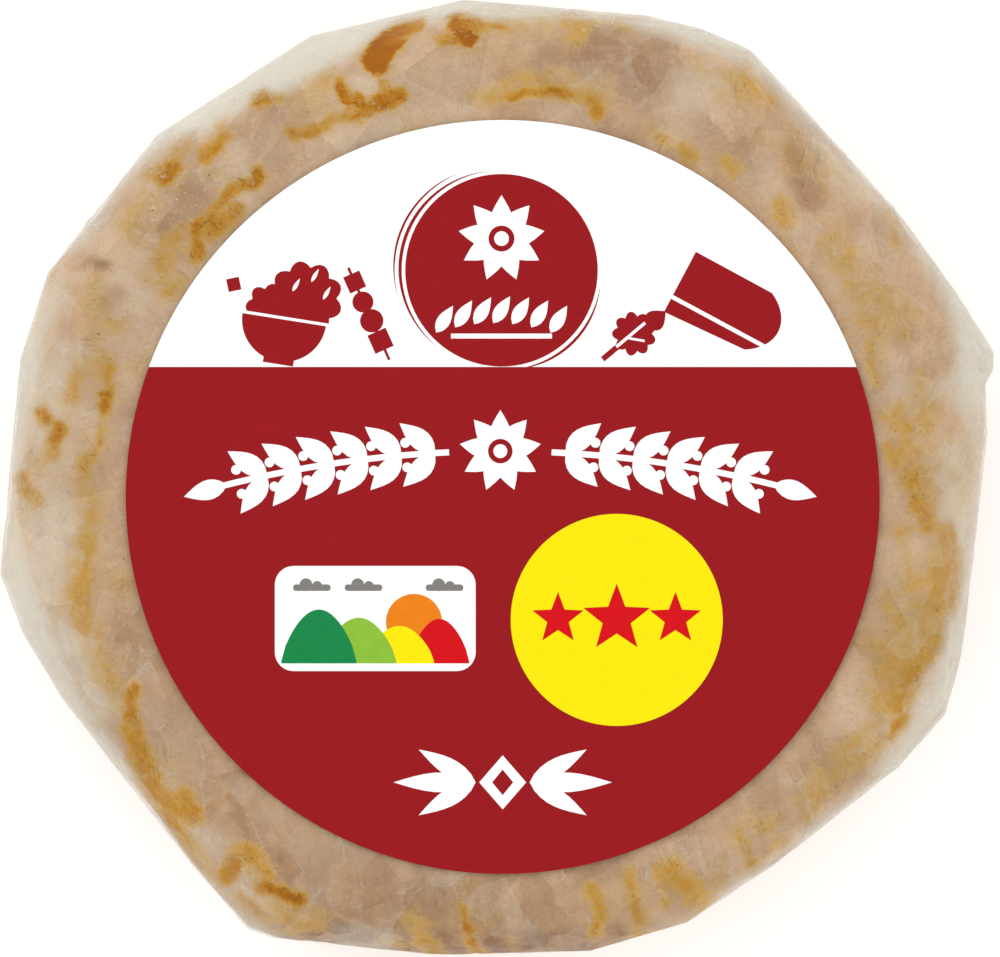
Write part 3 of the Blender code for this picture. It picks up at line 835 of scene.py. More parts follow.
def rind_radius(directions, film_radius, height, under):
    """Distance from the axis to the rind under each place of the film. They touch where the film is clear."""
    veil = by_direction(RIM_VEIL, directions)
    outline = folded_radius(directions)
    clearance = blend(CLING_CLEARANCE, RIND_CLEARANCE, smooth(0.1, 0.5, veil))
    reach = by_direction(RIND_REACH, directions) * MM + RIND_SPREAD
    reach = np.maximum(reach, outline - blend(CLING_CLEARANCE, MILKY_GAP, smooth(0.06, 0.5, veil)))
    reach = np.minimum(reach, outline - clearance)
    outwards = np.maximum(outline - TOP_RADIUS, MM)
    share = np.clip((film_radius - TOP_RADIUS) / outwards, 0.0, 1.0)
    shoulder = blend(np.minimum(film_radius, TOP_RADIUS - 0.2 * MM), reach, share)
    wall = blend(BASE_RADIUS - RIND_WALL_GAP, reach, smooth(0.0, SIDE_TOP - 1.0 * MM, height) ** 0.5)
    radius = np.where(height >= SIDE_TOP, shoulder, wall)
    radius = np.where(under >= 0.5, film_radius * (1.0 - RIND_BASE_GAP / BASE_RADIUS), radius)
    return np.minimum(radius, np.maximum(film_radius - clearance, 0.5 * MM))


def build_cheese():
    """The cheese inside, a soft low wheel whose rind is uneven and stained."""
    directions, film_radius, height, raised, flap, under = pack_rings()
    flap, under = flap[:, None], under[:, None]
    film_radius = film_radius - FLAP_RISE * flap * (1.0 - raised)
    radius = rind_radius(directions, film_radius, height, under)
    points = domed(to_points(directions, radius, blend(RIND_BASE, RIND_TOP, height / PACK_HEIGHT)))
    paint = rind_paint(directions, radius, height, points)
    hollow = STAIN_HOLLOW_MM * paint["stain"] * smooth(-0.3, 0.3, paint["stain_depth"])
    relief = RIND_ROLLS_MM * bumps(points, 4.0 * MM, 3, 6) + RIND_PITS_MM * bumps(points, 0.9 * MM, 2, 7)
    relief = np.clip((relief - hollow) * MM, RIND_DEEPEST, RIND_HIGHEST)
    points = points + outward(points) * relief[..., None]
    mesh = grid_mesh("cheese", points)
    for name, values in paint.items():
        store(mesh, name, values)
    store_flow(mesh, points, directions, radius, height)
    mesh.materials.append(rind_material())
    return place(mesh, "wrapped_rind")


def stained(degrees, radius_mm, stains):
    """How far inside the nearest stain each place lies, in mm, and how strong the stains about it are."""
    depth = np.full(radius_mm.shape, STAIN_LEAST_DEPTH)
    weights, strengths = np.full(radius_mm.shape, 1e-9), np.zeros(radius_mm.shape)
    for strength, half_width, line in stains:
        within = half_width + STAIN_SWELL - line_distance(degrees, radius_mm, line)
        within = np.clip(within, STAIN_LEAST_DEPTH, STAIN_MOST_DEPTH)
        weight = np.exp(within / 0.3)
        weights += weight
        strengths += weight * strength
        depth = np.maximum(depth, within)
    return depth, strengths / weights


def rind_paint(directions, radius, height, points):
    """Stains of the rind, as the photograph shows them on top and scattered on the side, with painted shade
    and light.
    """
    warp_deg = 0.35 * bumps(points, 1.8 * MM, 2, 8)
    warp_mm = 0.2 * bumps(points, 1.5 * MM, 2, 9)
    warped = directions + warp_deg
    radius_mm = radius / MM + warp_mm
    top = smooth(SIDE_TOP - 4.0 * MM, SIDE_TOP, height)
    depth, strength = stained(warped, radius_mm, OCHRE_STAINS)
    streaky = bumps(points * np.array([1.0, 1.0, 0.6]), 5.0 * MM, 4, 10)
    patchy = bumps(points, 8.0 * MM, 2, 11)
    side_depth = 3.0 * (streaky + 0.35 * patchy - 0.22)
    side_strength = 0.55 + 0.45 * bumps(points, 3.0 * MM, 2, 15)
    side_brown = 0.5 * smooth(0.25, 0.8, bumps(points, 6.0 * MM, 3, 12))
    side_pale = 0.5 * smooth(0.1, 0.7, bumps(points, 5.0 * MM, 2, 13))
    # Painted light: the rind is painted paler towards its rim, to offset the shade of its sloping shoulder.
    edge = by_direction(CLING_REACH, directions) - CLING_LEAD
    rim = 0.8 * by_direction(RIM_VEIL, directions) * smooth(edge - 0.5, edge + 1.5, radius / MM) * top
    pale = blend(side_pale, painted_strokes(warped, radius_mm, PALE_PLACES, 1.3), top)
    return {
        "stain_depth": blend(side_depth, depth, top),
        "stain": blend(side_strength, strength, top),
        "brown": blend(side_brown, painted_strokes(warped, radius_mm, BROWN_STAINS, 1.1), top),
        # pale holds both the pale places and the painted light towards the rim.
        "pale": np.maximum(pale, rim),
        "painted_shade": by_direction(RIND_PAINTED_SHADE, directions),
        "pull": by_direction(STREAK_STRENGTH, directions),
    }


def place(mesh, slot):
    """Puts a finished mesh in the scene as a piece of the object."""
    piece = bpy.data.objects.new(mesh.name, mesh)
    bpy.context.scene.collection.objects.link(piece)
    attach(piece, "root")
    return piece


def linear(colour):
    """A colour of 0 to 255, as the photograph shows it, as Blender's linear colour."""
    shares = [channel / 255.0 for channel in colour]
    channels = [share / 12.92 if share <= 0.04045 else ((share + 0.055) / 1.055) ** 2.4 for share in shares]
    return (*channels, 1.0)


class Nodes:
    """Builds the nodes of one material."""

    def __init__(self, name):
        self.material = bpy.data.materials.new(name)
        self.material.use_nodes = True
        self.tree = self.material.node_tree
        self.shader = self.tree.nodes["Principled BSDF"]

    def add(self, kind, inputs, **settings):
        """One node. settings are its own choices, and inputs are numbers, colours or other nodes' outputs."""
        node = self.tree.nodes.new(kind)
        for name, value in settings.items():
            setattr(node, name, value)
        for name, value in inputs.items():
            self.set(node, name, value)
        return node

    def set(self, node, name, value):
        """Sets or links one input."""
        if isinstance(value, bpy.types.NodeSocket):
            self.tree.links.new(value, node.inputs[name])
        else:
            node.inputs[name].default_value = value

    def math(self, operation, first, second=0.0, clamp=False):
        """A number worked out from one or two others."""
        node = self.add("ShaderNodeMath", {0: first, 1: second}, operation=operation, use_clamp=clamp)
        return node.outputs[0]

    def times(self, first, second, clamp=False):
        """The product of two numbers."""
        return self.math("MULTIPLY", first, second, clamp)

    def plus(self, first, second):
        """The sum of two numbers."""
        return self.math("ADD", first, second)

    def scaled(self, vector, scale):
        """A vector or colour, times a number."""
        return self.add("ShaderNodeVectorMath", {0: vector, "Scale": scale}, operation="SCALE").outputs[0]

    def rise(self, value, low, high, start=0.0, end=1.0):
        """start up to low, end from high on, and a soft run between."""
        inputs = {"Value": value, "From Min": low, "From Max": high, "To Min": start, "To Max": end}
        return self.add("ShaderNodeMapRange", inputs, interpolation_type="SMOOTHSTEP").outputs["Result"]

    def mix(self, share, first, second):
        """A colour between two others."""
        node = self.add("ShaderNodeMix", {0: share, 6: first, 7: second}, data_type="RGBA")
        return node.outputs[2]

    def stored(self, name):
        """A number kept on the mesh for each point."""
        return self.add("ShaderNodeAttribute", {}, attribute_name=name).outputs["Fac"]

    def place(self):
        """Where the surface is, in metres."""
        return self.add("ShaderNodeTexCoord", {}).outputs["Object"]

    def flow(self):
        """The vector kept for streaks."""
        return self.add("ShaderNodeAttribute", {}, attribute_name="flow").outputs["Vector"]

    def clouds(self, vector, size_mm, detail=2.0, rough=0.5):
        """Random cloudy values round 0.5. size_mm is the distance from cloud to cloud."""
        inputs = {"Vector": vector, "Scale": 1.0 / (size_mm * MM), "Detail": detail, "Roughness": rough}
        return self.add("ShaderNodeTexNoise", inputs).outputs["Fac"]

    def streaks(self, round_scale, along_scale, detail=3.0):
        """Random streaks that run from top to base."""
        scale = (round_scale, round_scale, along_scale)
        flow = self.add("ShaderNodeVectorMath", {0: self.flow(), 1: scale}, operation="MULTIPLY")
        inputs = {"Vector": flow.outputs[0], "Scale": 1.0, "Detail": detail}
        return self.add("ShaderNodeTexNoise", inputs).outputs["Fac"]

    def wrinkles(self, round_scale, along_scale, width):
        """Fine straight wrinkles that follow the pull: 1 on a wrinkle."""
        streaks = self.streaks(round_scale, along_scale, 1.0)
        away = self.math("ABSOLUTE", self.math("SUBTRACT", streaks, 0.5))
        return self.rise(away, 0.0, width, 1.0, 0.0)

    def panes(self, size_mm):
        """Flat panes with nearly straight edges, as in crumpled film: a value for each, and 1 on edges."""
        inputs = {"Vector": self.place(), "Scale": 1.0 / (3.0 * MM)}
        shift = self.scaled(self.add("ShaderNodeTexNoise", inputs).outputs["Color"], 0.8 * MM)
        moved = self.add("ShaderNodeVectorMath", {0: self.place(), 1: shift}, operation="ADD").outputs[0]
        inputs = {"Vector": moved, "Scale": 1.0 / (size_mm * MM)}
        cells = self.add("ShaderNodeTexVoronoi", inputs)
        edges = self.add("ShaderNodeTexVoronoi", inputs, feature="DISTANCE_TO_EDGE").outputs["Distance"]
        tone = self.add("ShaderNodeSeparateColor", {"Color": cells.outputs["Color"]}).outputs["Green"]
        return tone, self.rise(edges, 0.0, 0.1 / size_mm, 1.0, 0.0)

    def specks(self, cell_mm, radius_share, share):
        """Small round specks, one at most in each cell, in this share of the cells: 1 on a speck."""
        inputs = {"Vector": self.place(), "Scale": 1.0 / (cell_mm * MM)}
        cells = self.add("ShaderNodeTexVoronoi", inputs)
        chosen = self.add("ShaderNodeSeparateColor", {"Color": cells.outputs["Color"]}).outputs["Red"]
        near = self.rise(cells.outputs["Distance"], radius_share * 0.6, radius_share, 1.0, 0.0)
        return self.times(near, self.math("LESS_THAN", chosen, share))

    def stain(self, ragged, grain):
        """How strongly stained the rind is: strong stains have firm edges, and weak ones fade out softly."""
        strength = self.stored("stain")
        depth = self.plus(self.stored("stain_depth"), self.rise(ragged, 0.25, 0.75, -0.25, 0.25))
        depth = self.plus(depth, self.rise(grain, 0.25, 0.75, -0.1, 0.1))
        firm = self.rise(strength, 0.4, 0.95, 0.45, 1.5)
        core = self.rise(self.times(depth, firm), -0.6, 0.6)
        patches = self.clouds(self.place(), 1.9, 3.0, 0.6)
        uneven = self.rise(patches, 0.34, 0.6, self.rise(strength, 0.35, 0.8, 0.6, 0.93), 1.14)
        uneven = self.times(uneven, self.rise(grain, 0.3, 0.7, 0.9, 1.08))
        veins = self.math("ABSOLUTE", self.math("SUBTRACT", self.clouds(self.place(), 1.1, 2.0), 0.5))
        uneven = self.plus(uneven, self.rise(veins, 0.0, 0.035, 0.2, 0.0))
        core = self.times(core, self.times(strength, uneven))
        halo = self.times(self.rise(depth, -1.4, 0.2), self.times(strength, 0.32))
        return self.math("MAXIMUM", core, halo)

    def ramp(self, share, stops):
        """A colour from a row of (share, colour)."""
        node = self.add("ShaderNodeValToRGB", {"Fac": share})
        elements = node.color_ramp.elements
        while len(elements) < len(stops):
            elements.new(0.5)
        for element, (position, colour) in zip(elements, stops):
            element.position = position
            element.color = linear(colour)
        return node.outputs["Color"]

    def bump(self, height, strength, distance):
        """A bumpy surface from a height of 0 to 1, which stands for this distance."""
        inputs = {"Height": height, "Strength": strength, "Distance": distance}
        return self.add("ShaderNodeBump", inputs).outputs["Normal"]

    def shade(self, **inputs):
        """Sets the shader's own inputs, with a space in a name written as a low line."""
        for name, value in inputs.items():
            self.set(self.shader, name.replace("_", " "), value)
        return self.material


def rind_material():
    """The moist washed rind: a mottled beige bloom, ochre stains, brown and pale places, specks, painted
    shade and light.
    """
    nodes = Nodes("rind")
    where = nodes.place()
    broad = nodes.clouds(where, 6.0, 2.0)
    blotchy = nodes.clouds(where, 2.4, 1.0, 0.5)
    ragged = nodes.clouds(where, 1.2, 4.0, 0.6)
    grain = nodes.clouds(where, 0.3, 3.0, 0.7)
    pane, pane_edge = nodes.panes(5.6)
    chip, _ = nodes.panes(2.3)
    mottle = nodes.plus(nodes.times(broad, 0.7), nodes.times(blotchy, 0.3))
    colour = nodes.ramp(mottle, BLOOM_TONES)
    # Painted shade: the rind darkened towards brown by direction, most on its lower side.
    painted_shade = nodes.times(nodes.stored("painted_shade"), nodes.rise(blotchy, 0.3, 0.7, 1.25, 0.75))
    colour = nodes.mix(painted_shade, colour, linear(RIND_BROWN))
    # pale is partly real pale places of bloom and partly painted light towards the rim.
    pale = nodes.times(nodes.stored("pale"), nodes.rise(pane, 0.1, 0.9, 0.6, 1.2), clamp=True)
    colour = nodes.mix(pale, colour, linear(RIND_PALE_AND_RIM_LIGHT))
    brown = nodes.times(nodes.stored("brown"), nodes.rise(chip, 0.1, 0.9, 1.35, 0.6), clamp=True)
    colour = nodes.mix(brown, colour, linear(RIND_BROWN))
    stain = nodes.stain(ragged, grain)
    colour = nodes.mix(nodes.rise(stain, 0.02, 0.42), colour, nodes.ramp(stain, STAIN_TONES))
    specks = nodes.rise(nodes.clouds(where, 0.36, 1.0), 0.65, 0.7, 0.0, 0.6)
    specks = nodes.times(specks, nodes.rise(stain, 0.1, 0.5, 0.3, 0.9))
    specks = nodes.times(specks, nodes.rise(nodes.clouds(where, 3.4), 0.45, 0.6, 0.15, 1.0))
    specks = nodes.math("MAXIMUM", specks, nodes.times(nodes.specks(2.3, 0.05, 0.3), 0.8))
    colour = nodes.mix(specks, colour, linear(RIND_SPECK))
    streaks = nodes.rise(nodes.streaks(24.0, 2.2, 2.0), 0.35, 0.65, -0.06, 0.05)
    shade = nodes.plus(nodes.times(streaks, nodes.stored("pull")), 1.0)
    shade = nodes.times(shade, nodes.rise(ragged, 0.3, 0.7, 0.985, 1.015))
    shade = nodes.times(shade, nodes.rise(grain, 0.3, 0.7, 0.935, 1.06))
    # Painted shade: thin darker lines on the rind along the film's fine wrinkles, in some places.
    some = nodes.rise(nodes.clouds(where, 3.0), 0.52, 0.62)
    wrinkle = nodes.times(nodes.wrinkles(70.0, 12.0, 0.035), some)
    shade = nodes.times(shade, nodes.rise(wrinkle, 0.0, 1.0, 1.0, 0.84))
    shade = nodes.times(shade, nodes.rise(pane, 0.0, 1.0, 0.935, 1.055))
    crumpled = nodes.rise(blotchy, 0.48, 0.54)
    chips = nodes.times(nodes.rise(chip, 0.1, 0.9, -0.04, 0.035), crumpled)
    shade = nodes.plus(shade, chips)
    # Painted shade: thin dark lines along some pane edges, where the crumpled film creases.
    pane_edge_shade = nodes.times(pane_edge, nodes.rise(blotchy, 0.52, 0.58))
    shade = nodes.times(shade, nodes.rise(pane_edge_shade, 0.0, 1.0, 1.0, 0.9))
    relief = nodes.plus(ragged, nodes.times(grain, 0.4))
    return nodes.shade(
        Base_Color=nodes.scaled(colour, shade),
        Roughness=nodes.rise(ragged, 0.3, 0.7, 0.42, 0.58),
        Specular_IOR_Level=0.1,
        Normal=nodes.bump(relief, 0.5, 0.1 * MM),
    )


def film_material():
    """Thin milky film: nearly clear where it clings, whiter where it stands off the rind or lies in folds."""
    nodes = Nodes("milky_film")
    where = nodes.place()
    ragged = nodes.clouds(where, 1.6, 4.0, 0.6)
    streaks = nodes.streaks(90.0, 6.0)
    stored = nodes.stored("veil")
    patchy = nodes.rise(stored, 0.0, 0.5, 0.05, 0.25)
    veil = nodes.plus(stored, nodes.times(nodes.rise(ragged, 0.3, 0.7, -0.3, 0.3), patchy))
    streaky = nodes.times(nodes.rise(streaks, 0.35, 0.7, -0.03, 0.04), nodes.stored("pull"))
    veil = nodes.plus(veil, streaky)
    pane, pane_edge = nodes.panes(4.4)
    veil = nodes.plus(veil, nodes.rise(pane, 0.2, 1.0, -0.04, 0.12))
    # Whiter lines along some pane edges and fine wrinkles: partly the film's whitening, partly painted
    # highlights.
    crease_whitening_and_highlight = nodes.rise(nodes.clouds(where, 2.2, 1.0), 0.52, 0.6, 0.0, 0.2)
    veil = nodes.plus(veil, nodes.times(pane_edge, crease_whitening_and_highlight))
    veil = nodes.plus(veil, nodes.rise(nodes.clouds(where, 4.0, 3.0), 0.45, 0.7, -0.02, 0.07))
    some = nodes.rise(nodes.clouds(where, 3.0), 0.5, 0.62, 0.0, 0.15)
    veil = nodes.plus(veil, nodes.times(nodes.wrinkles(60.0, 8.0, 0.03), some))
    # Painted highlights: fine white marks where the film glints, and small scattered white specks.
    painted_glitter = nodes.rise(nodes.clouds(where, 0.34, 2.0, 0.6), 0.6, 0.68, 0.0, 0.55)
    veil = nodes.plus(veil, nodes.times(painted_glitter, nodes.stored("glint")))
    veil = nodes.plus(veil, nodes.times(nodes.specks(2.9, 0.035, 0.3), 0.4))
    inputs = {"Value": veil, "To Min": LEAST_COVER, "To Max": MOST_COVER}
    cover = nodes.add("ShaderNodeMapRange", inputs).outputs["Result"]
    fibres = nodes.clouds(where, 0.5, 4.0, 0.7)
    tint = nodes.rise(fibres, 0.3, 0.7, 0.97, 1.02)
    relief = nodes.plus(streaks, nodes.times(fibres, 0.3))
    return nodes.shade(
        Base_Color=nodes.scaled(linear(FILM_MILK)[:3], tint),
        Alpha=cover,
        Roughness=nodes.rise(ragged, 0.3, 0.7, 0.3, 0.46),
        Specular_IOR_Level=0.25,
        Normal=nodes.bump(relief, 0.35, 0.1 * MM),
    )


def ink_material(name, colour, spread):
    """Printed paper in one ink: faint unevenness of the print over the paper's fine fibres."""
    nodes = Nodes(name)
    where = nodes.place()
    mottle = nodes.rise(nodes.clouds(where, 1.2, 3.0), 0.3, 0.7, 1.0 - spread, 1.0 + spread)
    fibres = nodes.clouds(where, 0.18, 3.0, 0.7)
    return nodes.shade(
        Base_Color=nodes.scaled(linear(colour)[:3], mottle),
        Roughness=nodes.rise(fibres, 0.3, 0.7, 0.42, 0.52),
        Specular_IOR_Level=0.1,
        Normal=nodes.bump(fibres, 0.25, 0.02 * MM),
    )


def floor_material():
    """Pale matt surface under the cheese."""
    nodes = Nodes("pale_floor")
    tone = nodes.rise(nodes.clouds(nodes.place(), 60.0, 2.0), 0.3, 0.7, 0.94, 0.96)
    grey = nodes.add("ShaderNodeCombineColor", {0: tone, 1: tone, 2: tone}).outputs["Color"]
    return nodes.shade(
        Base_Color=grey,
        Roughness=0.8,
        Specular_IOR_Level=0.1,
        Emission_Color=WHITE_LIGHT,
        Emission_Strength=FLOOR_GLOW,
    )


def circle(x, y, radius, steps=48):
    """A round outline, in mm from the label's middle."""
    turns = [2.0 * math.pi * step / steps for step in range(steps)]
    return [(x + radius * math.cos(turn), y + radius * math.sin(turn)) for turn in turns]


def turn_outline(points, x, y, degrees):
    """An outline turned about the origin and then moved to x, y."""
    cos, sin = math.cos(math.radians(degrees)), math.sin(math.radians(degrees))
    return [(x + px * cos - py * sin, y + px * sin + py * cos) for px, py in points]


def leaf(x, y, length, width, degrees, steps=8):
    """A pointed leaf that grows from x, y in a direction."""
    upper = []
    for step in range(steps + 1):
        swell = math.sin(math.pi * (step / steps) ** LEAF_FULLNESS)
        upper.append((length * step / steps, width / 2 * swell))
    lower = [(px, -py) for px, py in reversed(upper[1:-1])]
    return turn_outline(upper + lower, x, y, degrees)


def rounded_plate(x, y, width, height, corner, steps=8):
    """A rectangle with round corners about a middle."""
    points = []
    for quarter, (side_x, side_y) in enumerate(((1, 1), (-1, 1), (-1, -1), (1, -1))):
        for step in range(steps + 1):
            turn = math.radians(90.0 * (quarter + step / steps))
            points.append((
                x + side_x * (width / 2 - corner) + corner * math.cos(turn),
                y + side_y * (height / 2 - corner) + corner * math.sin(turn),
            ))
    return points


def scalloped_disc(x, y, radius, depth, lobes, steps=6):
    """A disc whose edge is a row of small lobes."""
    count = lobes * steps
    points = []
    for step in range(count):
        turn = 2.0 * math.pi * step / count
        reach = radius - depth * (1.0 - abs(math.sin(lobes * turn / 2.0)))
        points.append((x + reach * math.cos(turn), y + reach * math.sin(turn)))
    return points


def star(x, y, radius):
    """A pointed star."""
    corners = []
    for step in range(2 * STAR_POINTS):
        reach = radius if step % 2 == 0 else radius * STAR_INNER_SHARE
        turn = math.radians(90.0 + HALF_TURN * step / STAR_POINTS)
        corners.append((x + reach * math.cos(turn), y + reach * math.sin(turn)))
    return corners


def daisy(x, y, radius):
    """A white daisy of pointed petals with a round red heart."""
    shapes = [
        ("ink_white", leaf(x, y, radius, radius * 0.5, FULL_TURN * petal / DAISY_PETALS + 90.0))
        for petal in range(DAISY_PETALS)
    ]
    shapes.append(("ink_red", circle(x, y, radius * 0.3, 24)))
    shapes.append(("ink_white", circle(x, y, radius * 0.17, 20)))
    return shapes


def bar(x, y, length, width, degrees):
    """A straight bar about a middle."""
    right, top = length / 2, width / 2
    return turn_outline([(-right, -top), (right, -top), (right, top), (-right, top)], x, y, degrees)


def lozenge(x, y, reach, rise):
    """A lozenge about a middle."""
    return [(x - reach, y), (x, y - rise), (x + reach, y), (x, y + rise)]


def crescent(x, y, radius, width, start, end, steps=36):
    """A stroke that follows a circle and is widest in its middle."""
    turns = [math.radians(blend(start, end, step / steps)) for step in range(steps + 1)]
    outer = [radius + width * math.sin(math.pi * step / steps) for step in range(steps + 1)]
    way = list(zip(turns, outer)) + [(turn, radius) for turn in reversed(turns[1:-1])]
    return [(x + reach * math.cos(turn), y + reach * math.sin(turn)) for turn, reach in way]


def half_disc(x, y, radius, degrees, steps=32):
    """The lower half of a disc, turned about the middle of its straight side."""
    turns = [math.pi * (1 + step / steps) for step in range(steps + 1)]
    points = [(radius * math.cos(turn), radius * math.sin(turn)) for turn in turns]
    return turn_outline(points, x, y, degrees)


# Forms of the ornaments: a leaf's fullness towards its foot, a star's points and a daisy's petals.
LEAF_FULLNESS = 0.8
STAR_POINTS = 5
STAR_INNER_SHARE = 0.42
DAISY_PETALS = 9

# Places and sizes on the label, in mm from its middle. The garland follows a wide arc.
FIELD_EDGE = 11.07
MEDALLION_PLACE = (-0.1, 19.3)
MEDALLION_RADIUS = 8.2
DISC_PLACE = (9.71, -10.47)
DISC_RADIUS = 9.03
PLATE_PLACE = (-10.85, -10.35)
PLATE_SIZE = (17.1, 8.95)
GARLAND_RADIUS = 96.2
GARLAND_MIDDLE = 3.9
GARLAND_REACH_DEG = 15.6
GARLAND_STEP_DEG = 1.72
GARLAND_FIRST_DEG = 3.3
GARLAND_SHIFT = -0.2
STEM_HALF_WIDTH = 0.26
BLOCK_PLACE = (19.0, 16.3)
BLOCK_LEAN_DEG = -26.0
LOZENGE_PLACE = (0.0, -24.3)


def garland():
    """A white garland of paired leaves and berries, bent to an arc, with a daisy in its middle."""
    shapes = []
    centre_y = GARLAND_MIDDLE - GARLAND_RADIUS

    def on_arc(degrees, off=0.0):
        reach, turn = GARLAND_RADIUS + off, math.radians(degrees)
        return (GARLAND_SHIFT + reach * math.sin(turn), centre_y + reach * math.cos(turn))

    steps = 40
    for side in (-1, 1):
        start, end = 2.6 * side, (GARLAND_REACH_DEG - 1.4) * side
        stem = [on_arc(blend(start, end, step / steps), STEM_HALF_WIDTH) for step in range(steps + 1)]
        stem += [on_arc(blend(end, start, step / steps), -STEM_HALF_WIDTH) for step in range(steps + 1)]
        shapes.append(("ink_white", stem))
        straight = 0.0 if side > 0 else HALF_TURN
        count = int((GARLAND_REACH_DEG - 3.6) / GARLAND_STEP_DEG)
        for step in range(count):
            degrees = side * (GARLAND_FIRST_DEG + GARLAND_STEP_DEG * step)
            for lean in (-1, 1):
                x, y = on_arc(degrees, 0.1 * lean)
                heading = straight - degrees + side * lean * 42.0
                shapes.append(("ink_white", leaf(x, y, 3.9, 1.75, heading)))
        for step in range(count):
            degrees = side * (GARLAND_FIRST_DEG + GARLAND_STEP_DEG * (step + 0.86))
            for lean in (-1, 1):
                x, y = on_arc(degrees, 1.05 * lean)
                shapes.append(("ink_white", circle(x, y, 0.42, 16)))
        x, y = on_arc(side * (GARLAND_REACH_DEG - 1.6))
        shapes.append(("ink_white", leaf(x, y, 3.8, 1.7, straight - side * GARLAND_REACH_DEG)))
    x, y = on_arc(0.0)
    return shapes + daisy(x, y, 3.5)


def medallion():
    """A dark red disc with loose strokes round it, and in it a white daisy over a spray of leaves."""
    x, y = MEDALLION_PLACE
    shapes = [
        ("ink_red", circle(x, y, MEDALLION_RADIUS, 96)),
        ("ink_red", crescent(x, y, MEDALLION_RADIUS + 0.3, 0.3, 96.0, 232.0)),
        ("ink_red", crescent(x - 0.1, y, MEDALLION_RADIUS + 0.8, 0.2, 112.0, 196.0)),
        ("ink_red", crescent(x, y, MEDALLION_RADIUS + 0.3, 0.25, 276.0, 352.0)),
    ]
    for column in range(-3, 4):
        foot = y - 4.5 - 0.09 * column ** 2 + 0.9
        shapes.append(("ink_white", leaf(x + 1.62 * column - 0.7, foot - 0.9, 2.7, 1.15, 58.0)))
    shapes.append(("ink_white", bar(x, y - 5.6, 8.6, 0.42, 0.0)))
    return shapes + daisy(x, y + 2.7, 3.7)


def bowl_and_skewer():
    """A bowl of salad and a skewer of small bites, in dark red on the white field."""
    shapes = [
        ("ink_red", scalloped_disc(-16.8, 16.9, 3.2, 0.55, 9)),
        ("ink_red", scalloped_disc(-19.9, 16.2, 2.0, 0.45, 7)),
        ("ink_white", half_disc(-18.6, 15.35, 4.0, -9.0)),
        ("ink_red", half_disc(-18.6, 15.1, 3.6, -9.0)),
        ("ink_red", bar(-19.1, 11.55, 2.6, 0.5, -9.0)),
        ("ink_red", bar(-22.9, 18.1, 1.1, 1.1, 12.0)),
        ("ink_red", bar(-11.4, 15.6, 8.6, 0.24, -66.0)),
        ("ink_red", bar(-12.6, 18.3, 1.5, 1.5, -66.0)),
        ("ink_red", circle(-11.9, 16.6, 0.9, 24)),
        ("ink_red", circle(-11.15, 15.0, 1.0, 24)),
        ("ink_red", bar(-10.4, 13.3, 1.7, 1.7, -66.0)),
    ]
    for x, y in ((-17.9, 17.5), (-16.3, 18.3), (-15.3, 16.8)):
        shapes.append(("ink_white", leaf(x, y, 1.3, 0.34, 60.0)))
    return shapes


def leaf_and_block():
    """A salad leaf and a tilted block of cheese with a rounded end, in dark red on the white field."""
    turns = np.radians(np.linspace(-52.0, 52.0, 17))
    block = [(-4.3, 3.0), (-4.5, -2.8)] + [(5.0 * math.cos(turn), 3.4 * math.sin(turn)) for turn in turns]
    cut = [(-4.9, -1.5), (5.2, -1.9), (5.2, -1.55), (-4.9, -1.15)]
    return [
        ("ink_red", scalloped_disc(11.2, 13.9, 1.9, 0.4, 9)),
        ("ink_red", leaf(12.2, 14.4, 2.2, 1.8, 40.0)),
        ("ink_red", bar(9.2, 12.3, 1.8, 0.5, 40.0)),
        ("ink_white", bar(10.9, 13.8, 3.2, 0.26, 40.0)),
        ("ink_white", bar(11.4, 13.4, 1.4, 0.2, -10.0)),
        ("ink_red", turn_outline(block, *BLOCK_PLACE, BLOCK_LEAN_DEG)),
        ("ink_white", turn_outline(cut, *BLOCK_PLACE, BLOCK_LEAN_DEG)),
    ]


def hill(start, end, low, rise, steps=18):
    """A broad rounded hill that stands on a level foot."""
    crest = [(blend(start, end, step / steps), low + 0.2 + rise * math.sin(math.pi * step / steps) ** 0.7)
             for step in range(steps + 1)]
    return crest + [(end, low), (start, low)]


def meadow_plate():
    """A white plate with a little picture of hills in a row, an orange sun and grey clouds."""
    x, y = PLATE_PLACE
    width, height = PLATE_SIZE
    low = y - height / 2 + 0.65
    shapes = [
        ("ink_white", rounded_plate(x, y, width, height, 1.6)),
        ("ink_orange", circle(x + 3.3, y - 0.3, 2.4, 40)),
        ("ink_scarlet", hill(x + 2.9, x + 8.0, low, 3.6)),
        ("ink_yellow", hill(x - 0.9, x + 5.0, low, 3.0)),
        ("ink_light_green", hill(x - 4.6, x + 1.8, low, 3.7)),
        ("ink_green", hill(x - 8.0, x - 1.6, low, 4.4)),
    ]
    for shift in (-5.4, -1.0, 5.9):
        foot = y + height / 2 - 2.05
        shapes.append(("ink_grey", rounded_plate(x + shift, foot + 0.2, 3.2, 0.56, 0.25)))
        shapes.append(("ink_grey", circle(x + shift - 0.5, foot + 0.45, 0.55, 20)))
        shapes.append(("ink_grey", circle(x + shift + 0.45, foot + 0.35, 0.42, 20)))
    return shapes


def star_disc():
    """A yellow disc with a row of three red stars."""
    x, y = DISC_PLACE
    return [
        ("ink_yellow", circle(x, y, DISC_RADIUS, 96)),
        ("ink_scarlet", star(x, y + 0.1, 3.0)),
        ("ink_scarlet", star(x - 5.0, y + 0.1, 2.3)),
        ("ink_scarlet", star(x + 5.0, y + 0.1, 2.3)),
    ]


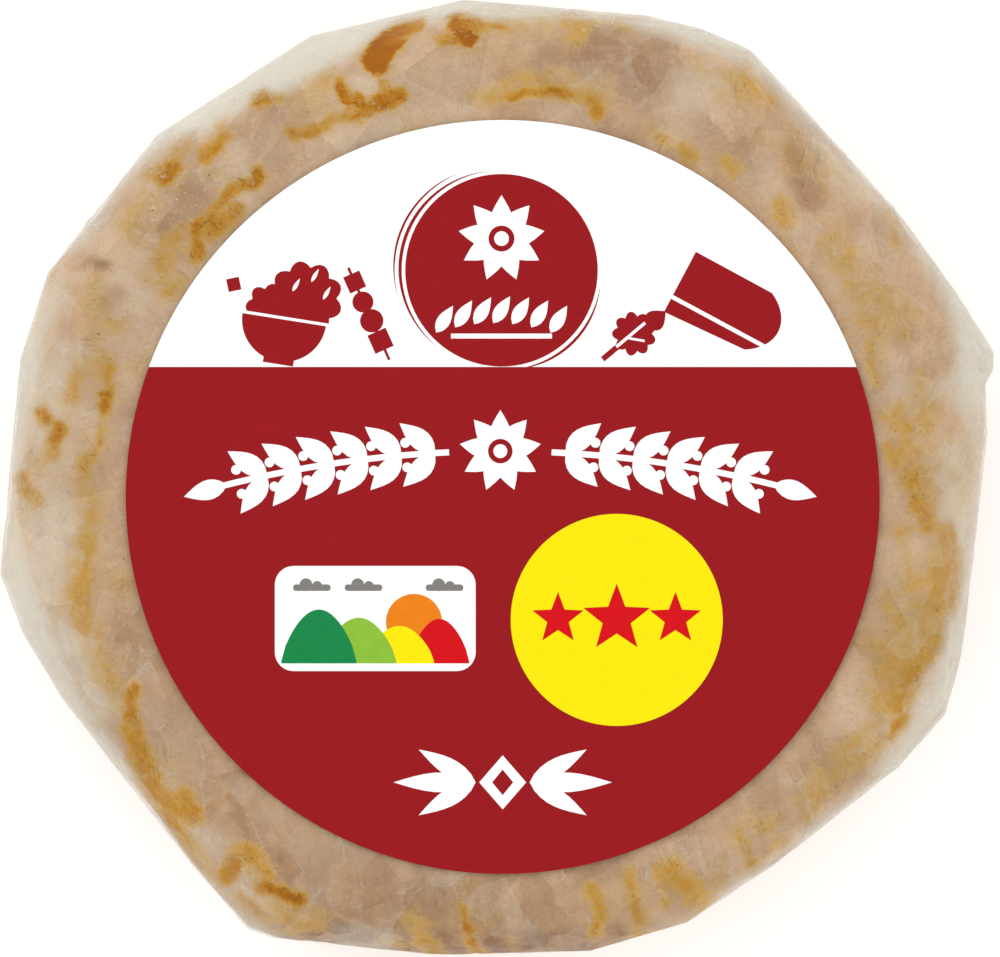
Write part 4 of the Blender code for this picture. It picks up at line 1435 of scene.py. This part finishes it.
def base_ornament():
    """A white lozenge between two sprays of leaves, under the disc and the plate."""
    x, y = LOZENGE_PLACE
    shapes = [("ink_white", lozenge(x, y, 2.0, 2.3)), ("ink_red", lozenge(x, y, 0.9, 1.1))]
    for away, heading in ((1.0, 0.0), (-1.0, 180.0)):
        for lean, length, width in ((0.0, 7.0, 1.7), (30.0, 5.6, 1.5), (-30.0, 5.6, 1.5)):
            shapes.append(("ink_white", leaf(x + 2.3 * away, y, length, width, heading + lean)))
    return shapes


def label_shapes():
    """Everything printed on the label, from the bottom layer to the top one: an ink and an outline each."""
    reach = LABEL_RADIUS / MM + 1.0
    edge = math.sqrt(reach ** 2 - FIELD_EDGE ** 2)
    start, end = math.atan2(FIELD_EDGE, -edge), math.atan2(FIELD_EDGE, edge) + 2.0 * math.pi
    steps = 96
    turns = [blend(start, end, step / steps) for step in range(steps + 1)]
    shapes = [("ink_red", [(reach * math.cos(turn), reach * math.sin(turn)) for turn in turns])]
    shapes += medallion() + bowl_and_skewer() + leaf_and_block() + garland()
    shapes += meadow_plate() + star_disc() + base_ornament()
    return shapes


def inside(points, outline):
    """Which of these points lie inside an outline."""
    x, y = points[:, 0], points[:, 1]
    found = np.zeros(len(points), bool)
    for (x1, y1), (x2, y2) in zip(outline, outline[1:] + outline[:1]):
        if y1 == y2:
            continue
        crossing = ((y1 > y) != (y2 > y)) & (x < (x2 - x1) * (y - y1) / (y2 - y1) + x1)
        found ^= crossing
    return found


LABEL_GRID_MM = 1.6
LABEL_RIM_STEPS = 192
LABEL_THICKNESS = 0.15 * MM
LABEL_WAVE = 0.03 * MM


def label_points(shapes):
    """The points and edges that cut the label along its print: its rim, the outlines, and a grid between."""
    rim = circle(0.0, 0.0, LABEL_RADIUS / MM, LABEL_RIM_STEPS)
    points, edges = [], []
    for outline in [rim] + [outline for _, outline in shapes]:
        first = len(points)
        points += outline
        count = len(outline)
        edges += [(first + i, first + (i + 1) % count) for i in range(count)]
    reach = int(LABEL_RADIUS / MM / LABEL_GRID_MM) + 1
    for row in range(-reach, reach + 1):
        for column in range(-reach, reach + 1):
            x, y = (column + 0.5 * (row % 2)) * LABEL_GRID_MM, row * LABEL_GRID_MM * 0.87
            if math.hypot(x, y) < LABEL_RADIUS / MM - 0.8:
                points.append((x, y))
    return points, edges


def build_label():
    """The round paper label, a thin sheet that is cut along its print, so that each ink has its own faces."""
    shapes = label_shapes()
    points, edges = label_points(shapes)
    cut = geometry.delaunay_2d_cdt([Vector(point) for point in points], edges, [], 0, 1e-5)
    flat = np.array([tuple(vertex) for vertex in cut[0]])
    triangles = np.array(cut[2])
    middles = flat[triangles].mean(axis=1)
    kept = np.hypot(middles[:, 0], middles[:, 1]) < LABEL_RADIUS / MM * math.cos(math.pi / LABEL_RIM_STEPS)
    triangles, middles = triangles[kept], middles[kept]
    names = list(INKS)
    chosen = np.zeros(len(triangles), int)
    for ink, outline in shapes:
        chosen[inside(middles, outline)] = names.index(ink)
    level = LABEL_HIGH.z - LABEL_WAVE
    sheet = np.column_stack([flat * MM + np.array(LABEL_CENTRE.xy), np.full(len(flat), level)])
    sheet[:, 2] += LABEL_WAVE * bumps(sheet, 14.0 * MM, 2, 14)
    mesh = bpy.data.meshes.new("printed_label")
    mesh.from_pydata(sheet.tolist(), [], triangles.tolist())
    for ink, (colour, spread) in INKS.items():
        mesh.materials.append(ink_material(ink, colour, spread))
    mesh.polygons.foreach_set("material_index", chosen)
    shape = bmesh.new()
    shape.from_mesh(mesh)
    bmesh.ops.delete(shape, geom=[vertex for vertex in shape.verts if not vertex.link_faces], context="VERTS")
    bmesh.ops.recalc_face_normals(shape, faces=shape.faces)
    if sum(face.normal.z for face in shape.faces) < 0:
        bmesh.ops.reverse_faces(shape, faces=shape.faces)
    shape.to_mesh(mesh)
    shape.free()
    label = place(mesh, "printed_paper")
    sides = label.modifiers.new("thickness", "SOLIDIFY")
    sides.thickness = LABEL_THICKNESS
    sides.offset = -1.0
    sides.material_offset_rim = 0
    return label


def build_floor():
    """The plain pale floor."""
    mesh = bpy.data.meshes.new("floor")
    size = FLOOR_HALF_SIZE
    corners = [(-size, -size, 0), (size, -size, 0), (size, size, 0), (-size, size, 0)]
    mesh.from_pydata(corners, [], [(0, 1, 2, 3)])
    mesh.materials.append(floor_material())
    floor = bpy.data.objects.new("floor", mesh)
    bpy.context.scene.collection.objects.link(floor)


def add_light(name, place_at, size, power):
    """A soft square light that faces the cheese."""
    light = bpy.data.lights.new(name, "AREA")
    light.size = size
    light.energy = power
    lamp = bpy.data.objects.new(name, light)
    lamp.location = place_at
    lamp.rotation_euler = (-Vector(place_at)).to_track_quat("-Z", "Y").to_euler()
    bpy.context.scene.collection.objects.link(lamp)


def light_scene():
    """Even white surroundings, with a soft key light from the upper left and a weaker one from the right."""
    world = bpy.data.worlds.new("studio")
    world.use_nodes = True
    world.node_tree.nodes["Background"].inputs["Color"].default_value = WHITE_LIGHT
    world.node_tree.nodes["Background"].inputs["Strength"].default_value = WORLD_STRENGTH
    bpy.context.scene.world = world
    add_light("key", *KEY_LIGHT)
    add_light("fill", *FILL_LIGHT)
    bpy.context.scene.view_settings.view_transform = "Standard"


def place_camera():
    """The camera, straight above, so that the outline fills the picture as in the photograph."""
    camera = bpy.data.cameras.new("camera")
    camera.sensor_width = SENSOR_WIDTH_MM
    camera.lens = SENSOR_WIDTH_MM * CAMERA_DISTANCE * PIXELS_PER_METRE / IMAGE_WIDTH
    eye = bpy.data.objects.new("camera", camera)
    x = (IMAGE_CENTRE[0] - AXIS_PIXEL[0]) / PIXELS_PER_METRE
    y = (AXIS_PIXEL[1] - IMAGE_CENTRE[1]) / PIXELS_PER_METRE
    eye.location = (x, y, SIDE_TOP + CAMERA_DISTANCE)
    bpy.context.scene.collection.objects.link(eye)
    bpy.context.scene.camera = eye


def main():
    film = build_film()
    film.visible_shadow = False
    film.visible_diffuse = False
    build_cheese()
    label = build_label()
    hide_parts("wrapped_cheese")
    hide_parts("label")
    build_floor()
    light_scene()
    place_camera()
    bpy.context.view_layer.update()


main()
